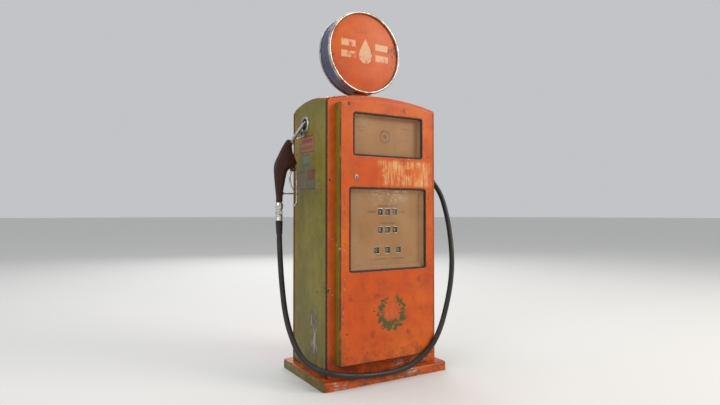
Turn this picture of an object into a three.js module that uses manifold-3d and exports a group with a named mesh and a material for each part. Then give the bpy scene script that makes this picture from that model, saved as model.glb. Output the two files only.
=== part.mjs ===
// A short computing petrol pump with a round sign on its roof, built as the real one comes apart.
// Millimetres. +Z is up, the front faces -Y, and +X is to the right of someone facing the pump.
// The origin is the middle of the base's underside, on the ground.

import * as THREE from 'three';
import { mergeVertices } from 'three/addons/utils/BufferGeometryUtils.js';
import Module from 'manifold-3d';

const wasm = await Module();
wasm.setup();

// ---- driving dimensions -------------------------------------------------------------------
const GAP = 0.3; // between pieces that touch
const BASE = { width: 750, depth: 512, height: 45, corner: 26, wall: 5 };
const CABINET = { half: 330, front: -204, back: 216, shoulder: 1412, skin: 3 };
const CROWN = { front: 39, side: 32 }; // rise of the roof across its width and along its depth
const FRAME = { face: 8, depth: 28, rib: 320, opening: 278, sill: 114, head: 36 };
const GROOVE = 9; // dark joint between a frame's face and the side panels
const PANEL = { half: 288, bottom: 103.5, head: 26, raise: 48, skin: 3, corner: 12 };
const REAR_DOOR_RAISE = 22;
const UPPER_WINDOW = { half: 211, bottom: 1137, top: 1352, corner: 12 };
const LOWER_WINDOW = { half: 233, bottom: 560, top: 979, corner: 12 };
const SIGN_FACE = -219; // front of the lit sign behind the upper window
const DIAL_FACE = -221; // front of the dial behind the lower window
const DIAL_CENTRE = 10; // the number rows stand a little right of the middle
const WHEEL = { radius: 44, width: 28, bore: 5, sides: 20 };
const SUPPLY = { x: -150, y: -60 }; // where the supply pipe comes up through the base
const WHEEL_ROWS = [
  { name: 'sale_wheel', z: 857, pitch: 45 },
  { name: 'volume_wheel', z: 765, pitch: 45 },
  { name: 'price_wheel', z: 661, pitch: 68 },
];
const GLOBE = { radius: 229, z: 1739, front: -19, back: 105 };
const COLLAR_RADIUS = 44;
const ROUND = 32; // sides of the sign's rings and lenses
const NOZZLE_Y = 56; // the nozzle hangs in this plane, square to the left side
const HOSE_DIAMETER = 28;
const HOSE_STEPS = 40;
const BOOT = { z: 1320, flange: 46, mouth: 32, depth: 45 };
const HOOK = { x: -345, z: 1258 }; // pivot of the hook that switches the pump on
// Middle line of the elbow on the right side that the hose is fastened to.
const OUTLET = [[336, 20, 1150], [356, 20, 1149], [374, 19, 1137], [388, 14, 1120]];
const LOCK = { x: -195, z: 1029, radius: 9 };
const REAR_HINGE = { x: -295, y: 234, lower: 330, upper: 1150, length: 80 };
const SHELF = { half: 318, front: -165, back: 180, thickness: 4, pump: 300, register: 551.7 };
const REGISTER = { half: 205, back: 20, bottom: 556, top: 985, wall: 4 };
const DIAL = { half: 246, bottom: 546, top: 993, thickness: 3 };
const SLOT = { half: 13, reach: 15.5 }; // opening in the dial in front of each number wheel
const SIGN_LAMP = { y: -150, z: 1240, length: 380 };
const MOTOR = { y: 90, z: 130, radius: 72, length: 200, pulley: 30 };
const PUMP = { y: 90, z: 390, radius: 62, pulley: 75 };
const NECK_RADIUS = 7; // the lamp's stem goes down through the drum and the roof
const BELT_X = -15; // middle of the belt and both pulleys
const RISER_X = 288; // the pipe from the meter up to the outlet
const METER = { x: 188, y: -30, radius: 60, height: 160, shaftTop: 585 };

// The hose's centreline, from the nozzle's swivel round the front of the base to the outlet.
const HOSE_ROUTE = [
  [-477, 56, 811.7], [-476, 56, 760], [-474, 56, 690], [-470, 56, 610], [-465, 54, 525],
  [-459, 48, 440], [-453, 34, 355], [-448, 3, 281], [-441, -40, 217], [-434, -88, 169],
  [-424, -139, 136], [-408, -187, 117], [-384, -225, 103], [-351, -251, 92], [-306, -265, 80],
  [-250, -270, 68], [-183, -270, 58], [-110, -268.5, 50], [-30, -268.5, 47.5], [45, -268.5, 51],
  [113, -268.5, 64], [170, -268.5, 87], [215, -269, 114], [257, -269, 149], [295, -266, 194],
  [332, -259, 251], [367, -249, 320], [402, -236, 402], [433, -220, 490], [458, -198, 595],
  [474, -166, 715], [478, -128, 845], [470, -84, 960], [444, -48, 1030],
];

// ---- materials ----------------------------------------------------------------------------
function finish(colour, roughness, metalness) {
  return () => new THREE.MeshStandardMaterial({ color: colour, roughness, metalness });
}

const orangePaint = finish(0xc8601a, 0.5, 0.1);
const olivePaint = finish(0x5a5a1c, 0.55, 0.1);
const creamEnamel = finish(0xb9946a, 0.5, 0.0);
const clearGlass = finish(0xcfd6d2, 0.1, 0.0);
const blackRubber = finish(0x151413, 0.6, 0.0);
const bareSteel = finish(0x8b8a86, 0.35, 0.9);
const chrome = finish(0xc9c9c6, 0.15, 1.0);
const castIron = finish(0x4a4a48, 0.7, 0.6);
const drumSteel = finish(0x5a6272, 0.4, 0.7);
const nozzlePaint = finish(0x2c1d16, 0.4, 0.4);
const machineGreen = finish(0x40574c, 0.5, 0.2);
const brass = finish(0xa88445, 0.35, 0.9);
const wheelBlack = finish(0x1d1a16, 0.6, 0.0);
const lampGlass = finish(0xf1e6c8, 0.3, 0.0);

// ---- solids -------------------------------------------------------------------------------
function toManifold(geometry) {
  const bare = geometry.clone();
  bare.deleteAttribute('normal');
  bare.deleteAttribute('uv');
  const merged = mergeVertices(bare, 1e-4);
  const vertProperties = new Float32Array(merged.attributes.position.array);
  const triVerts = new Uint32Array(merged.index.array);
  return new wasm.Manifold(new wasm.Mesh({ numProp: 3, vertProperties, triVerts }));
}

function toGeometry(manifold) {
  const mesh = manifold.getMesh();
  const geometry = new THREE.BufferGeometry();
  geometry.setAttribute('position', new THREE.BufferAttribute(mesh.vertProperties, 3));
  geometry.setIndex(new THREE.BufferAttribute(mesh.triVerts, 1));
  return geometry;
}

function join(first, ...others) {
  return toGeometry(others.reduce((sum, next) => sum.add(toManifold(next)), toManifold(first)));
}

function cut(body, ...tools) {
  return toGeometry(tools.reduce((rest, tool) => rest.subtract(toManifold(tool)), toManifold(body)));
}

function common(first, second) {
  return toGeometry(toManifold(first).intersect(toManifold(second)));
}

function block(x0, x1, y0, y1, z0, z1) {
  const box = new THREE.BoxGeometry(x1 - x0, y1 - y0, z1 - z0);
  return box.translate((x0 + x1) / 2, (y0 + y1) / 2, (z0 + z1) / 2);
}

// Extrusions of outlines drawn in the XZ, YZ and XY planes.
function alongY(shape, y0, y1, curveSegments = 4) {
  const slab = new THREE.ExtrudeGeometry(shape, { depth: y1 - y0, bevelEnabled: false, curveSegments });
  return slab.rotateX(Math.PI / 2).translate(0, y1, 0);
}

function alongX(shape, x0, x1, curveSegments = 4) {
  const slab = new THREE.ExtrudeGeometry(shape, { depth: x1 - x0, bevelEnabled: false, curveSegments });
  const turn = new THREE.Matrix4().makeBasis(
    new THREE.Vector3(0, 1, 0),
    new THREE.Vector3(0, 0, 1),
    new THREE.Vector3(1, 0, 0),
  );
  return slab.applyMatrix4(turn).translate(x0, 0, 0);
}

function alongZ(shape, z0, z1, curveSegments = 4) {
  const slab = new THREE.ExtrudeGeometry(shape, { depth: z1 - z0, bevelEnabled: false, curveSegments });
  return slab.translate(0, 0, z0);
}

// Cylinders named by the axis they lie along, centred on the origin.
function rodX(radius, length, sides = 16) {
  return new THREE.CylinderGeometry(radius, radius, length, sides).rotateZ(-Math.PI / 2);
}

function rodY(radius, length, sides = 16) {
  return new THREE.CylinderGeometry(radius, radius, length, sides);
}

function rodZ(radius, length, sides = 16) {
  return new THREE.CylinderGeometry(radius, radius, length, sides).rotateX(Math.PI / 2);
}

// Turned shapes: a profile of [radius, height] points spun about the Y or Z axis.
function turnedY(profile, sides) {
  return new THREE.LatheGeometry(profile.map(([r, h]) => new THREE.Vector2(r, h)), sides);
}

function turnedZ(profile, sides) {
  return turnedY(profile, sides).rotateX(Math.PI / 2);
}

function tube(points, radius, steps, sides = 10) {
  const path = new THREE.CatmullRomCurve3(points.map((p) => new THREE.Vector3(...p)));
  const section = new THREE.Shape();
  section.absarc(0, 0, radius, 0, 2 * Math.PI, false); // an arc gets two points a segment
  const options = { steps, extrudePath: path, bevelEnabled: false, curveSegments: sides / 2 };
  return new THREE.ExtrudeGeometry(section, options);
}

// ---- outlines -----------------------------------------------------------------------------
function roundedRectangle(x0, x1, y0, y1, radius, Kind = THREE.Shape) {
  const shape = new Kind();
  shape.moveTo(x0 + radius, y0);
  shape.lineTo(x1 - radius, y0);
  shape.absarc(x1 - radius, y0 + radius, radius, -Math.PI / 2, 0, false);
  shape.lineTo(x1, y1 - radius);
  shape.absarc(x1 - radius, y1 - radius, radius, 0, Math.PI / 2, false);
  shape.lineTo(x0 + radius, y1);
  shape.absarc(x0 + radius, y1 - radius, radius, Math.PI / 2, Math.PI, false);
  shape.lineTo(x0, y0 + radius);
  shape.absarc(x0 + radius, y0 + radius, radius, Math.PI, 1.5 * Math.PI, false);
  return shape;
}

// An upright outline with a flat foot and a crowned head, whose two top corners are rounded.
function archedOutline(left, right, foot, headAt, corner, steps = 8) {
  const shape = new THREE.Shape();
  shape.moveTo(left, foot);
  shape.lineTo(right, foot);
  shape.lineTo(right, headAt(right) - corner);
  shape.quadraticCurveTo(right, headAt(right), right - corner, headAt(right - corner));
  for (let i = 1; i <= steps; i += 1) {
    const u = right - corner - ((right - left - 2 * corner) * i) / steps;
    shape.lineTo(u, headAt(u));
  }
  shape.quadraticCurveTo(left, headAt(left), left, headAt(left) - corner);
  return shape;
}

const middleY = (CABINET.front + CABINET.back) / 2;
const halfDepth = (CABINET.back - CABINET.front) / 2;

function frontArch(x) {
  return CABINET.shoulder + CROWN.front * (1 - (x / CABINET.half) ** 2);
}

function sideArch(y) {
  return CABINET.shoulder + CROWN.side * (1 - ((y - middleY) / halfDepth) ** 2);
}

function roofHeight(x, y) {
  return frontArch(x) + sideArch(y) - CABINET.shoulder;
}

// The cabinet's outer envelope under its domed roof, lowered by drop.
function envelope(drop = 0) {
  const box = new THREE.BoxGeometry(2 * CABINET.half, 2 * halfDepth, 100, 8, 6, 1);
  const foot = BASE.height + GAP;
  const place = box.attributes.position;
  for (let i = 0; i < place.count; i += 1) {
    const y = place.getY(i) + middleY;
    place.setY(i, y);
    place.setZ(i, place.getZ(i) > 0 ? roofHeight(place.getX(i), y) - drop : foot);
  }
  return box;
}

// ---- the assembly -------------------------------------------------------------------------
const pump = new THREE.Group();

function piece(name, geometry, material, parent = pump, at = [0, 0, 0]) {
  const mesh = new THREE.Mesh(geometry, material());
  mesh.name = name;
  mesh.position.set(...at);
  parent.add(mesh);
  return mesh;
}

function group(at, parent = pump) {
  const nest = new THREE.Group();
  nest.position.set(...at);
  parent.add(nest);
  return nest;
}

function buildBase() {
  const x = BASE.width / 2;
  const y = BASE.depth / 2;
  const edge = 10;
  const outline = roundedRectangle(-x + edge, x - edge, -y + edge, y - edge, BASE.corner - edge);
  const options = { depth: 60, bevelThickness: edge, bevelSize: edge, bevelSegments: 2, curveSegments: 2 };
  const slab = new THREE.ExtrudeGeometry(outline, options).translate(0, 0, BASE.height - 60 - edge);
  const inside = roundedRectangle(-x + 14, x - 14, -y + 14, y - 14, BASE.corner - 12);
  const hollow = alongZ(inside, BASE.wall, BASE.height - BASE.wall, 2);
  const pipeHole = rodZ(34, 200).translate(SUPPLY.x, SUPPLY.y, 0);
  const buried = block(-x - 1, x + 1, -y - 1, y + 1, -100, 0);
  piece('base_plinth', cut(slab, buried, hollow, pipeHole), orangePaint);
}

// A face frame: a broad thin face and a narrower rib behind it, open in the middle.
function faceFrame(y0, y1, ribY0, ribY1) {
  const shell = envelope();
  const ribBlock = block(-FRAME.rib, FRAME.rib, ribY0, ribY1, 0, 2000);
  const face = common(shell, block(-400, 400, y0, y1, 0, 2000));
  const rib = common(envelope(FRAME.face), ribBlock);
  const head = (x) => frontArch(x) - FRAME.head;
  const mouth = archedOutline(-FRAME.opening, FRAME.opening, FRAME.sill, head, 10);
  return cut(join(face, rib), alongY(mouth, y0 - 50, y1 + 50));
}

// A raised pressed panel, open at its back.
function pressedPanel(y0, y1, openBack) {
  const head = (x) => frontArch(x) - PANEL.head;
  const lowered = (x) => head(x) - PANEL.skin;
  const inner = PANEL.half - PANEL.skin;
  const outer = archedOutline(-PANEL.half, PANEL.half, PANEL.bottom, head, PANEL.corner);
  const hollow = archedOutline(-inner, inner, PANEL.bottom + PANEL.skin, lowered, PANEL.corner - 2);
  const from = openBack > 0 ? y0 + PANEL.skin : y0 - 1;
  const to = openBack > 0 ? y1 + 1 : y1 - PANEL.skin;
  return cut(alongY(outer, y0, y1), alongY(hollow, from, to));
}

function windowOutline(window, inset) {
  const { half, bottom, top, corner } = window;
  const radius = corner - inset;
  return roundedRectangle(-half + inset, half - inset, bottom + inset, top - inset, radius);
}

function buildCabinet() {
  const frontRib = CABINET.front + FRAME.face;
  const backRib = CABINET.back - FRAME.face;
  const frontInner = CABINET.front + FRAME.depth;
  const backInner = CABINET.back - FRAME.depth;
  piece('front_frame', faceFrame(CABINET.front, frontRib, frontRib - 1, frontInner), orangePaint);
  piece('rear_frame', faceFrame(backRib, CABINET.back, backInner, backRib + 1), orangePaint);

  const side = archedOutline(frontRib + GROOVE, backRib - GROOVE, BASE.height + GAP, sideArch, 14);
  const right = alongX(side, CABINET.half - CABINET.skin, CABINET.half);
  const left = alongX(side, -CABINET.half, CABINET.skin - CABINET.half);
  const bootHole = rodX(BOOT.mouth + 4, 20, 20).translate(-CABINET.half, NOZZLE_Y, BOOT.z);
  const outletHole = rodX(16, 20, 12).translate(CABINET.half, OUTLET[0][1], OUTLET[0][2]);
  piece('left_side_panel', cut(left, bootHole), olivePaint);
  piece('right_side_panel', cut(right, outletHole), olivePaint);

  const roofHalf = CABINET.half - CABINET.skin - GAP;
  const roofSpan = block(-roofHalf, roofHalf, frontInner + GAP, backInner - GAP, 1300, 1600);
  const roof = common(cut(envelope(0), envelope(CABINET.skin)), roofSpan);
  const cableHole = rodZ(12, 300, 12).translate(0, (GLOBE.front + GLOBE.back) / 2, 1500);
  piece('roof_panel', cut(roof, cableHole), orangePaint);
}

function buildFrontPanel() {
  const face = CABINET.front - PANEL.raise;
  const tray = pressedPanel(face, CABINET.front - GAP, 1);
  const openings = [UPPER_WINDOW, LOWER_WINDOW];
  const cuts = openings.map((window) => alongY(windowOutline(window, 0), face - 5, face + 10, 2));
  const lockHole = rodY(LOCK.radius + GAP + 0.1, 20, 16).translate(LOCK.x, face, LOCK.z);
  piece('front_panel', cut(tray, ...cuts, lockHole), orangePaint);

  const names = ['upper_window', 'lower_window'];
  openings.forEach((window, i) => {
    const rim = windowOutline(window, GAP);
    rim.holes.push(roundedHole(window, 6));
    piece(`${names[i]}_gasket`, alongY(rim, face - 2, face + 10, 2), blackRubber);
    const pane = windowOutline(window, 6 + GAP);
    piece(`${names[i]}_glass`, alongY(pane, face + 3, face + 7, 2), clearGlass);
  });

  const lockFace = rodY(LOCK.radius + 4, 3, 16).translate(0, -9.5, 0);
  const lockBody = join(rodY(LOCK.radius, 22, 16), lockFace);
  const slot = block(-1, 1, -13, -9.5, -6, 6);
  piece('panel_lock', cut(lockBody, slot), chrome, pump, [LOCK.x, face + 7.5, LOCK.z]);
}

function roundedHole(window, inset) {
  const { half, bottom, top, corner } = window;
  const x = half - inset;
  return roundedRectangle(-x, x, bottom + inset, top - inset, corner - inset, THREE.Path);
}

function buildRearDoor() {
  const inner = CABINET.back + GAP;
  piece('rear_door', pressedPanel(inner, inner + REAR_DOOR_RAISE, -1), orangePaint);
  const { x, y, length } = REAR_HINGE;
  const reach = length / 2 - 4;
  const heights = { rear_hinge_lower: REAR_HINGE.lower, rear_hinge_upper: REAR_HINGE.upper };
  for (const [name, z] of Object.entries(heights)) {
    const barrel = rodZ(5.5, length, 12);
    const leaf = block(-24, -2, -17.5, -14.5, -reach, reach);
    const web = block(-7, -4, -17, 0, -reach, reach);
    piece(name, join(barrel, leaf, web), bareSteel, pump, [x, y, z]);
  }
}

function buildSign() {
  const half = UPPER_WINDOW.half + 12;
  const low = UPPER_WINDOW.bottom - 12;
  const high = UPPER_WINDOW.top + 10;
  piece('sign_panel', block(-half, half, SIGN_FACE, SIGN_FACE + 3, low, high), creamEnamel);
  const { y, z, length } = SIGN_LAMP;
  const capAt = length / 2 - 12;
  const caps = [-capAt, capAt].map((x) => rodX(19, 22, 12).translate(x, 0, 0));
  piece('sign_lamp', join(rodX(15, length, 12), ...caps), lampGlass, pump, [0, y, z]);
}

function buildRegister() {
  const front = DIAL_FACE + DIAL.thickness + GAP;
  const wheelY = front + 1 + WHEEL.radius;
  const slots = [];
  for (const row of WHEEL_ROWS) {
    for (let i = -1; i <= 1; i += 1) {
      const x = DIAL_CENTRE + i * row.pitch;
      const { half: side, reach } = SLOT;
      slots.push(block(x - side, x + side, DIAL_FACE - 5, front + 5, row.z - reach, row.z + reach));
    }
  }
  const plate = block(-DIAL.half, DIAL.half, DIAL_FACE, DIAL_FACE + DIAL.thickness, DIAL.bottom, DIAL.top);
  piece('dial_plate', cut(plate, ...slots), creamEnamel);

  const { half, back, bottom, top, wall } = REGISTER;
  const casing = block(-half, half, front, back, bottom, top);
  const inside = block(-half + wall, half - wall, front - 5, back - wall, bottom + wall, top - wall);
  const shaftHole = rodZ(10, 40, 12).translate(METER.x, METER.y, bottom);
  piece('register_box', cut(casing, inside, shaftHole), machineGreen);

  for (const row of WHEEL_ROWS) {
    const disc = new THREE.Shape();
    disc.absarc(0, 0, WHEEL.radius, 0, 2 * Math.PI, false);
    const bore = new THREE.Path();
    bore.absarc(0, 0, WHEEL.bore, 0, 2 * Math.PI, false);
    disc.holes.push(bore);
    for (let i = -1; i <= 1; i += 1) {
      const wheel = alongX(disc, -WHEEL.width / 2, WHEEL.width / 2, WHEEL.sides / 2);
      const at = [DIAL_CENTRE + i * row.pitch, wheelY, row.z];
      piece(`${row.name}_${i + 2}`, wheel, wheelBlack, pump, at);
    }
    const shaftLength = 2 * (half - wall - GAP);
    piece(`${row.name}_shaft`, rodX(4, shaftLength, 10), bareSteel, pump, [0, wheelY, row.z]);
  }
}

function buildPumping() {
  const beltSlot = block(BELT_X - 22, BELT_X + 22, PUMP.y - 92, PUMP.y + 92, 290, 320);
  const pipeSlot = rodZ(24, 40, 12).translate(SUPPLY.x, SUPPLY.y, SHELF.pump);
  piece('pump_shelf', cut(shelf(SHELF.pump), beltSlot, pipeSlot), castIron);
  const spindleHole = rodZ(10, 40, 12).translate(METER.x, METER.y, SHELF.register);
  const riserHole = rodZ(18, 40, 12).translate(RISER_X, METER.y, SHELF.register);
  piece('register_shelf', cut(shelf(SHELF.register), spindleHole, riserHole), castIron);

  const motorX = BELT_X - MOTOR.length / 2 - 60;
  const electric = join(
    rodX(MOTOR.radius, MOTOR.length, 20),
    rodX(40, MOTOR.length + 30, 16),
    rodX(7, 60, 10).translate(MOTOR.length / 2 + 40, 0, 0),
    block(-80, 80, -50, 50, BASE.height + GAP - MOTOR.z, -55),
  );
  piece('motor', electric, machineGreen, pump, [motorX, MOTOR.y, MOTOR.z]);

  pulley('motor_pulley', MOTOR.pulley, 8, [BELT_X, MOTOR.y, MOTOR.z]);
  pulley('pump_pulley', PUMP.pulley, 8, [BELT_X, PUMP.y, PUMP.z]);
  const belt = beltLoop(MOTOR.pulley, PUMP.pulley, PUMP.z - MOTOR.z);
  piece('drive_belt', belt, blackRubber, pump, [BELT_X, PUMP.y, MOTOR.z]);

  const onShelf = SHELF.pump + SHELF.thickness + GAP;
  const housing = join(
    rodX(PUMP.radius, 90, 20).translate(75, 0, 0),
    rodX(30, 40, 16).translate(22, 0, 0),
    rodX(7, 60, 10).translate(0, 0, 0),
    block(40, 110, -45, 45, onShelf - PUMP.z, -30),
  );
  piece('pump_unit', housing, castIron, pump, [BELT_X + 20, PUMP.y, PUMP.z]);

  const { x, y } = SUPPLY;
  const pumpX = BELT_X + 95;
  const suction = tube([[x, y, 4], [x, y, 60], [x, y, 250], [x, y, 430], [x + 25, y + 12, 480],
    [0, 30, 505], [pumpX - 22, PUMP.y - 12, 500], [pumpX, PUMP.y, 480], [pumpX, PUMP.y, 454]], 17, 24, 8);
  piece('suction_pipe', suction, castIron);

  const { radius, height } = METER;
  const bowl = turnedZ([[0, 0], [radius, 0], [radius, height * 0.7], [radius * 0.8, height * 0.9],
    [radius * 0.3, height], [0, height]], 24);
  piece('meter', bowl, brass, pump, [METER.x, METER.y, onShelf]);
  const foot = onShelf + height + 1;
  const top = METER.shaftTop;
  const spindle = join(rodZ(5, top - foot, 10).translate(0, 0, (foot + top) / 2),
    rodZ(11, 8, 16).translate(0, 0, top - 4), rodZ(11, 8, 16).translate(0, 0, foot + 4));
  piece('meter_shaft', spindle, bareSteel, pump, [METER.x, METER.y, 0]);
  const [, outY, outZ] = OUTLET[0];
  const riser = tube([[METER.x + radius + 3, METER.y, 360], [METER.x + radius + 15, METER.y, 361],
    [RISER_X, METER.y, 400], [RISER_X, METER.y, 560], [RISER_X, METER.y, 900], [RISER_X, -5, 1080],
    [RISER_X + 5, outY - 2, 1135], [308, outY, outZ], [318, outY, outZ], [328, outY, outZ]], 13, 26, 8);
  piece('discharge_pipe', riser, castIron);
  piece('junction_box', block(-45, 45, -35, 35, -50, 50), castIron, pump, [-255, -60, 360]);
}

function shelf(bottom) {
  const { half, front, back, thickness } = SHELF;
  return block(-half, half, front, back, bottom, bottom + thickness);
}

function pulley(name, radius, bore, at) {
  const rim = radius + 4;
  const profile = [[bore, -11], [rim, -11], [radius, -7], [radius, 7], [rim, 11], [bore, 11], [bore, -11]];
  const wheel = turnedY(profile, 20).rotateZ(-Math.PI / 2);
  piece(name, wheel, castIron, pump, at);
}

// A flat belt round two pulleys, the small one at the origin and the large one rise above it.
function beltLoop(small, large, rise) {
  const clearance = 1.2;
  const thick = 6;
  const outer = beltOutline(small + clearance + thick, large + clearance + thick, rise, THREE.Shape);
  outer.holes.push(beltOutline(small + clearance, large + clearance, rise, THREE.Path));
  return alongX(outer, -5.5, 5.5, 8);
}

function beltOutline(small, large, rise, Kind) {
  const lean = Math.asin((large - small) / rise);
  const outline = new Kind();
  outline.absarc(0, 0, small, Math.PI + lean, 2 * Math.PI - lean, false);
  outline.absarc(0, rise, large, -lean, Math.PI + lean, false);
  return outline;
}

function buildGlobe() {
  const { radius, z, front, back } = GLOBE;
  const depth = back - front;
  const globe = group([0, front, z]);
  const rimDepth = 16;
  const wall = 4;
  const shell = radius - 5;
  piece('globe_drum', turnedY([[shell - wall, rimDepth + GAP], [shell, rimDepth + GAP],
    [shell, depth - rimDepth - GAP], [shell - wall, depth - rimDepth - GAP],
    [shell - wall, rimDepth + GAP]], ROUND), drumSteel, globe);
  const rim = [[radius - 14, 0], [radius - 4, 0], [radius, 4], [radius, rimDepth],
    [radius - 9, rimDepth], [radius - 14, 0]];
  const lensRadius = radius - 14 - GAP;
  const lens = [[0, 2], [lensRadius - 90, 6], [lensRadius, rimDepth - 3], [lensRadius, rimDepth],
    [0, rimDepth], [0, 2]];
  const flip = (profile) => profile.map(([r, h]) => [r, depth - h]).reverse();
  piece('globe_front_rim', turnedY(rim, ROUND), bareSteel, globe);
  piece('globe_rear_rim', turnedY(flip(rim), ROUND), bareSteel, globe);
  piece('globe_front_lens', turnedY(lens, ROUND), orangePaint, globe);
  piece('globe_rear_lens', turnedY(flip(lens), ROUND), orangePaint, globe);

  const middle = depth / 2;
  const seat = cut(rodZ(COLLAR_RADIUS, 80, 24).translate(0, middle, -230),
    rodY(shell + 3, 300, ROUND), envelope(-GAP).translate(0, -front, -z));
  const neck = rodZ(NECK_RADIUS + 1, 200, 12).translate(0, middle, -200);
  piece('globe_collar', cut(seat, neck), orangePaint, globe);
  const bulb = turnedZ([[0, -60], [12, -60], [14, -20], [34, 10], [38, 34], [28, 58], [0, 68]], 16);
  const stem = rodZ(NECK_RADIUS - 1, 225, 10).translate(0, 0, -165);
  const lampAndStem = join(bulb, stem).translate(0, middle, 0);
  const drumPort = rodZ(NECK_RADIUS, 60, 12).translate(0, middle, -shell);
  const drum = globe.getObjectByName('globe_drum');
  drum.geometry = cut(drum.geometry, drumPort);
  piece('globe_lamp', lampAndStem, lampGlass, globe);
}

function buildNozzleHolder() {
  const { flange, mouth, depth } = BOOT;
  const wall = 3;
  const profile = [[mouth, -8], [flange - 3, -8], [flange, -5], [flange, -GAP], [mouth + wall, -GAP],
    [mouth + wall, depth], [0, depth], [0, depth - wall], [mouth, depth - wall], [mouth, -8]];
  const cup = turnedY(profile, 24).rotateZ(-Math.PI / 2);
  const lugs = [-17.3, 13.3].map((y) => block(-21, -6, y, y + 4, -68, -36));
  piece('nozzle_holder', join(cup, ...lugs), bareSteel, pump, [-CABINET.half, NOZZLE_Y, BOOT.z]);

  const hook = new THREE.Shape();
  hook.moveTo(-3, 5);
  hook.lineTo(-24, -12);
  hook.lineTo(-29, -6);
  hook.lineTo(-33, -9);
  hook.lineTo(-26, -19);
  hook.lineTo(0, -5);
  const plate = alongY(hook, -12, 12);
  const knuckle = rodY(5.5, 26, 12);
  piece('switch_hook', join(plate, knuckle), chrome, pump, [HOOK.x, NOZZLE_Y, HOOK.z]);
}

function buildOutlet() {
  const flange = rodX(36, 8, 20).translate(CABINET.half + GAP + 4, OUTLET[0][1], OUTLET[0][2]);
  const elbow = tube(OUTLET, 19, 6, 10);
  const end = new THREE.Vector3(...OUTLET[3]);
  const toHose = new THREE.Vector3(...HOSE_ROUTE[HOSE_ROUTE.length - 1]).sub(end).normalize();
  const ferrule = rodZ(18.5, 60, 16);
  const turn = new THREE.Quaternion().setFromUnitVectors(new THREE.Vector3(0, 0, 1), toHose);
  ferrule.applyQuaternion(turn);
  ferrule.translate(end.x + 22 * toHose.x, end.y + 22 * toHose.y, end.z + 22 * toHose.z);
  piece('hose_outlet', join(flange, elbow, ferrule), bareSteel);
  return end.addScaledVector(toHose, 52 + GAP);
}

function buildNozzle(hoseEnd) {
  const nozzle = group([-477, NOZZLE_Y, 0]);
  const body = new THREE.Shape();
  body.moveTo(58, 1221);
  body.lineTo(74, 1233);
  body.splineThru([[44, 1236], [8, 1178], [-22, 1120], [-29, 1075], [-24, 1010], [-19, 960], [-15, 925],
    [-16, 905.3]].map(([u, v]) => new THREE.Vector2(u, v)));
  body.lineTo(16, 905.3);
  body.splineThru([[17, 925], [19, 955], [31, 1015], [41, 1060], [52, 1088], [94, 1104], [97, 1116],
    [88, 1138], [72, 1172], [69, 1200], [74, 1221]].map(([u, v]) => new THREE.Vector2(u, v)));
  const slab = alongY(body, -19, 19, 2);
  const lugs = [-12, 9].map((y) => block(66, 84, y, y + 3, 1074, 1100));
  const spoutRoute = [[100, 0, 1270], [128, 0, 1309], [148, 0, 1332], [168, 0, 1337]];
  const socket = tube([[59.6, 0, 1214.4], ...spoutRoute], 10, 10, 10);
  piece('nozzle_body', cut(join(slab, ...lugs), socket), nozzlePaint, nozzle);
  piece('nozzle_spout', tube([[60, 0, 1215], ...spoutRoute], 9.5, 12, 10), bareSteel, nozzle);
  const guardRod = tube([[91, 0, 1099], [96, 0, 1070], [99, 0, 1000], [99, 0, 930], [97, 0, 902],
    [88, 0, 892]], 4.5, 14, 8);
  const bar = rodX(4, 78, 8).translate(60, 0, 953);
  piece('nozzle_guard', join(guardRod, bar), bareSteel, nozzle);

  const lever = tube([[0, 0, 0], [-14, 0, -26], [-17, 0, -50], [-9, 0, -86], [5, 0, -116]], 4.5, 12, 8);
  piece('nozzle_trigger', join(lever, rodY(6, 14, 12)), chrome, nozzle, [75, 0, 1081]);

  piece('nozzle_swivel', turnedZ([[0, 812], [16.5, 812], [18, 838], [21, 842], [21, 862], [17, 866],
    [17, 872], [20.5, 876], [20.5, 896], [17, 905], [0, 905]], 16), chrome, nozzle);

  const route = [...HOSE_ROUTE, hoseEnd.toArray()];
  piece('hose', tube(route, HOSE_DIAMETER / 2, HOSE_STEPS, 8), blackRubber);
}

buildBase();
buildCabinet();
buildFrontPanel();
buildRearDoor();
buildSign();
buildRegister();
buildPumping();
buildGlobe();
buildNozzleHolder();
buildNozzle(buildOutlet());

export default pump;
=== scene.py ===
import math

import bmesh
import bpy
from mathutils import Matrix, Vector
from mathutils.geometry import delaunay_2d_cdt


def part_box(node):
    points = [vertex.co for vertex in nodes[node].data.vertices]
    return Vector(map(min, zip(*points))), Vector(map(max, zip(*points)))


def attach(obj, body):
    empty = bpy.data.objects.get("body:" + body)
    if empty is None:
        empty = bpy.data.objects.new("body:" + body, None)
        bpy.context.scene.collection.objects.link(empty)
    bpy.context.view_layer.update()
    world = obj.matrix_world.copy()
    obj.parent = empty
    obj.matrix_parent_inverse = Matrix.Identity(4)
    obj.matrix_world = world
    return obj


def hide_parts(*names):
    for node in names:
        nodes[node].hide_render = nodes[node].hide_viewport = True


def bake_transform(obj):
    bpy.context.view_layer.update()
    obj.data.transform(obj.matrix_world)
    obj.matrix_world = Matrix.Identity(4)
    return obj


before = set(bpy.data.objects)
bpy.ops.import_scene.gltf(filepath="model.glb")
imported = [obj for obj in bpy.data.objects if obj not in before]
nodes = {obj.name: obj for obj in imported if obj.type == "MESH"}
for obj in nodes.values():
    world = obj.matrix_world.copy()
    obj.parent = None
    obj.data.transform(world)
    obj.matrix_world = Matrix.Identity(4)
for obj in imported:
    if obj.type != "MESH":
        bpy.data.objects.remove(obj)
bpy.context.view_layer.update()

TAU = 2 * math.pi
MM = 0.001

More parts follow.
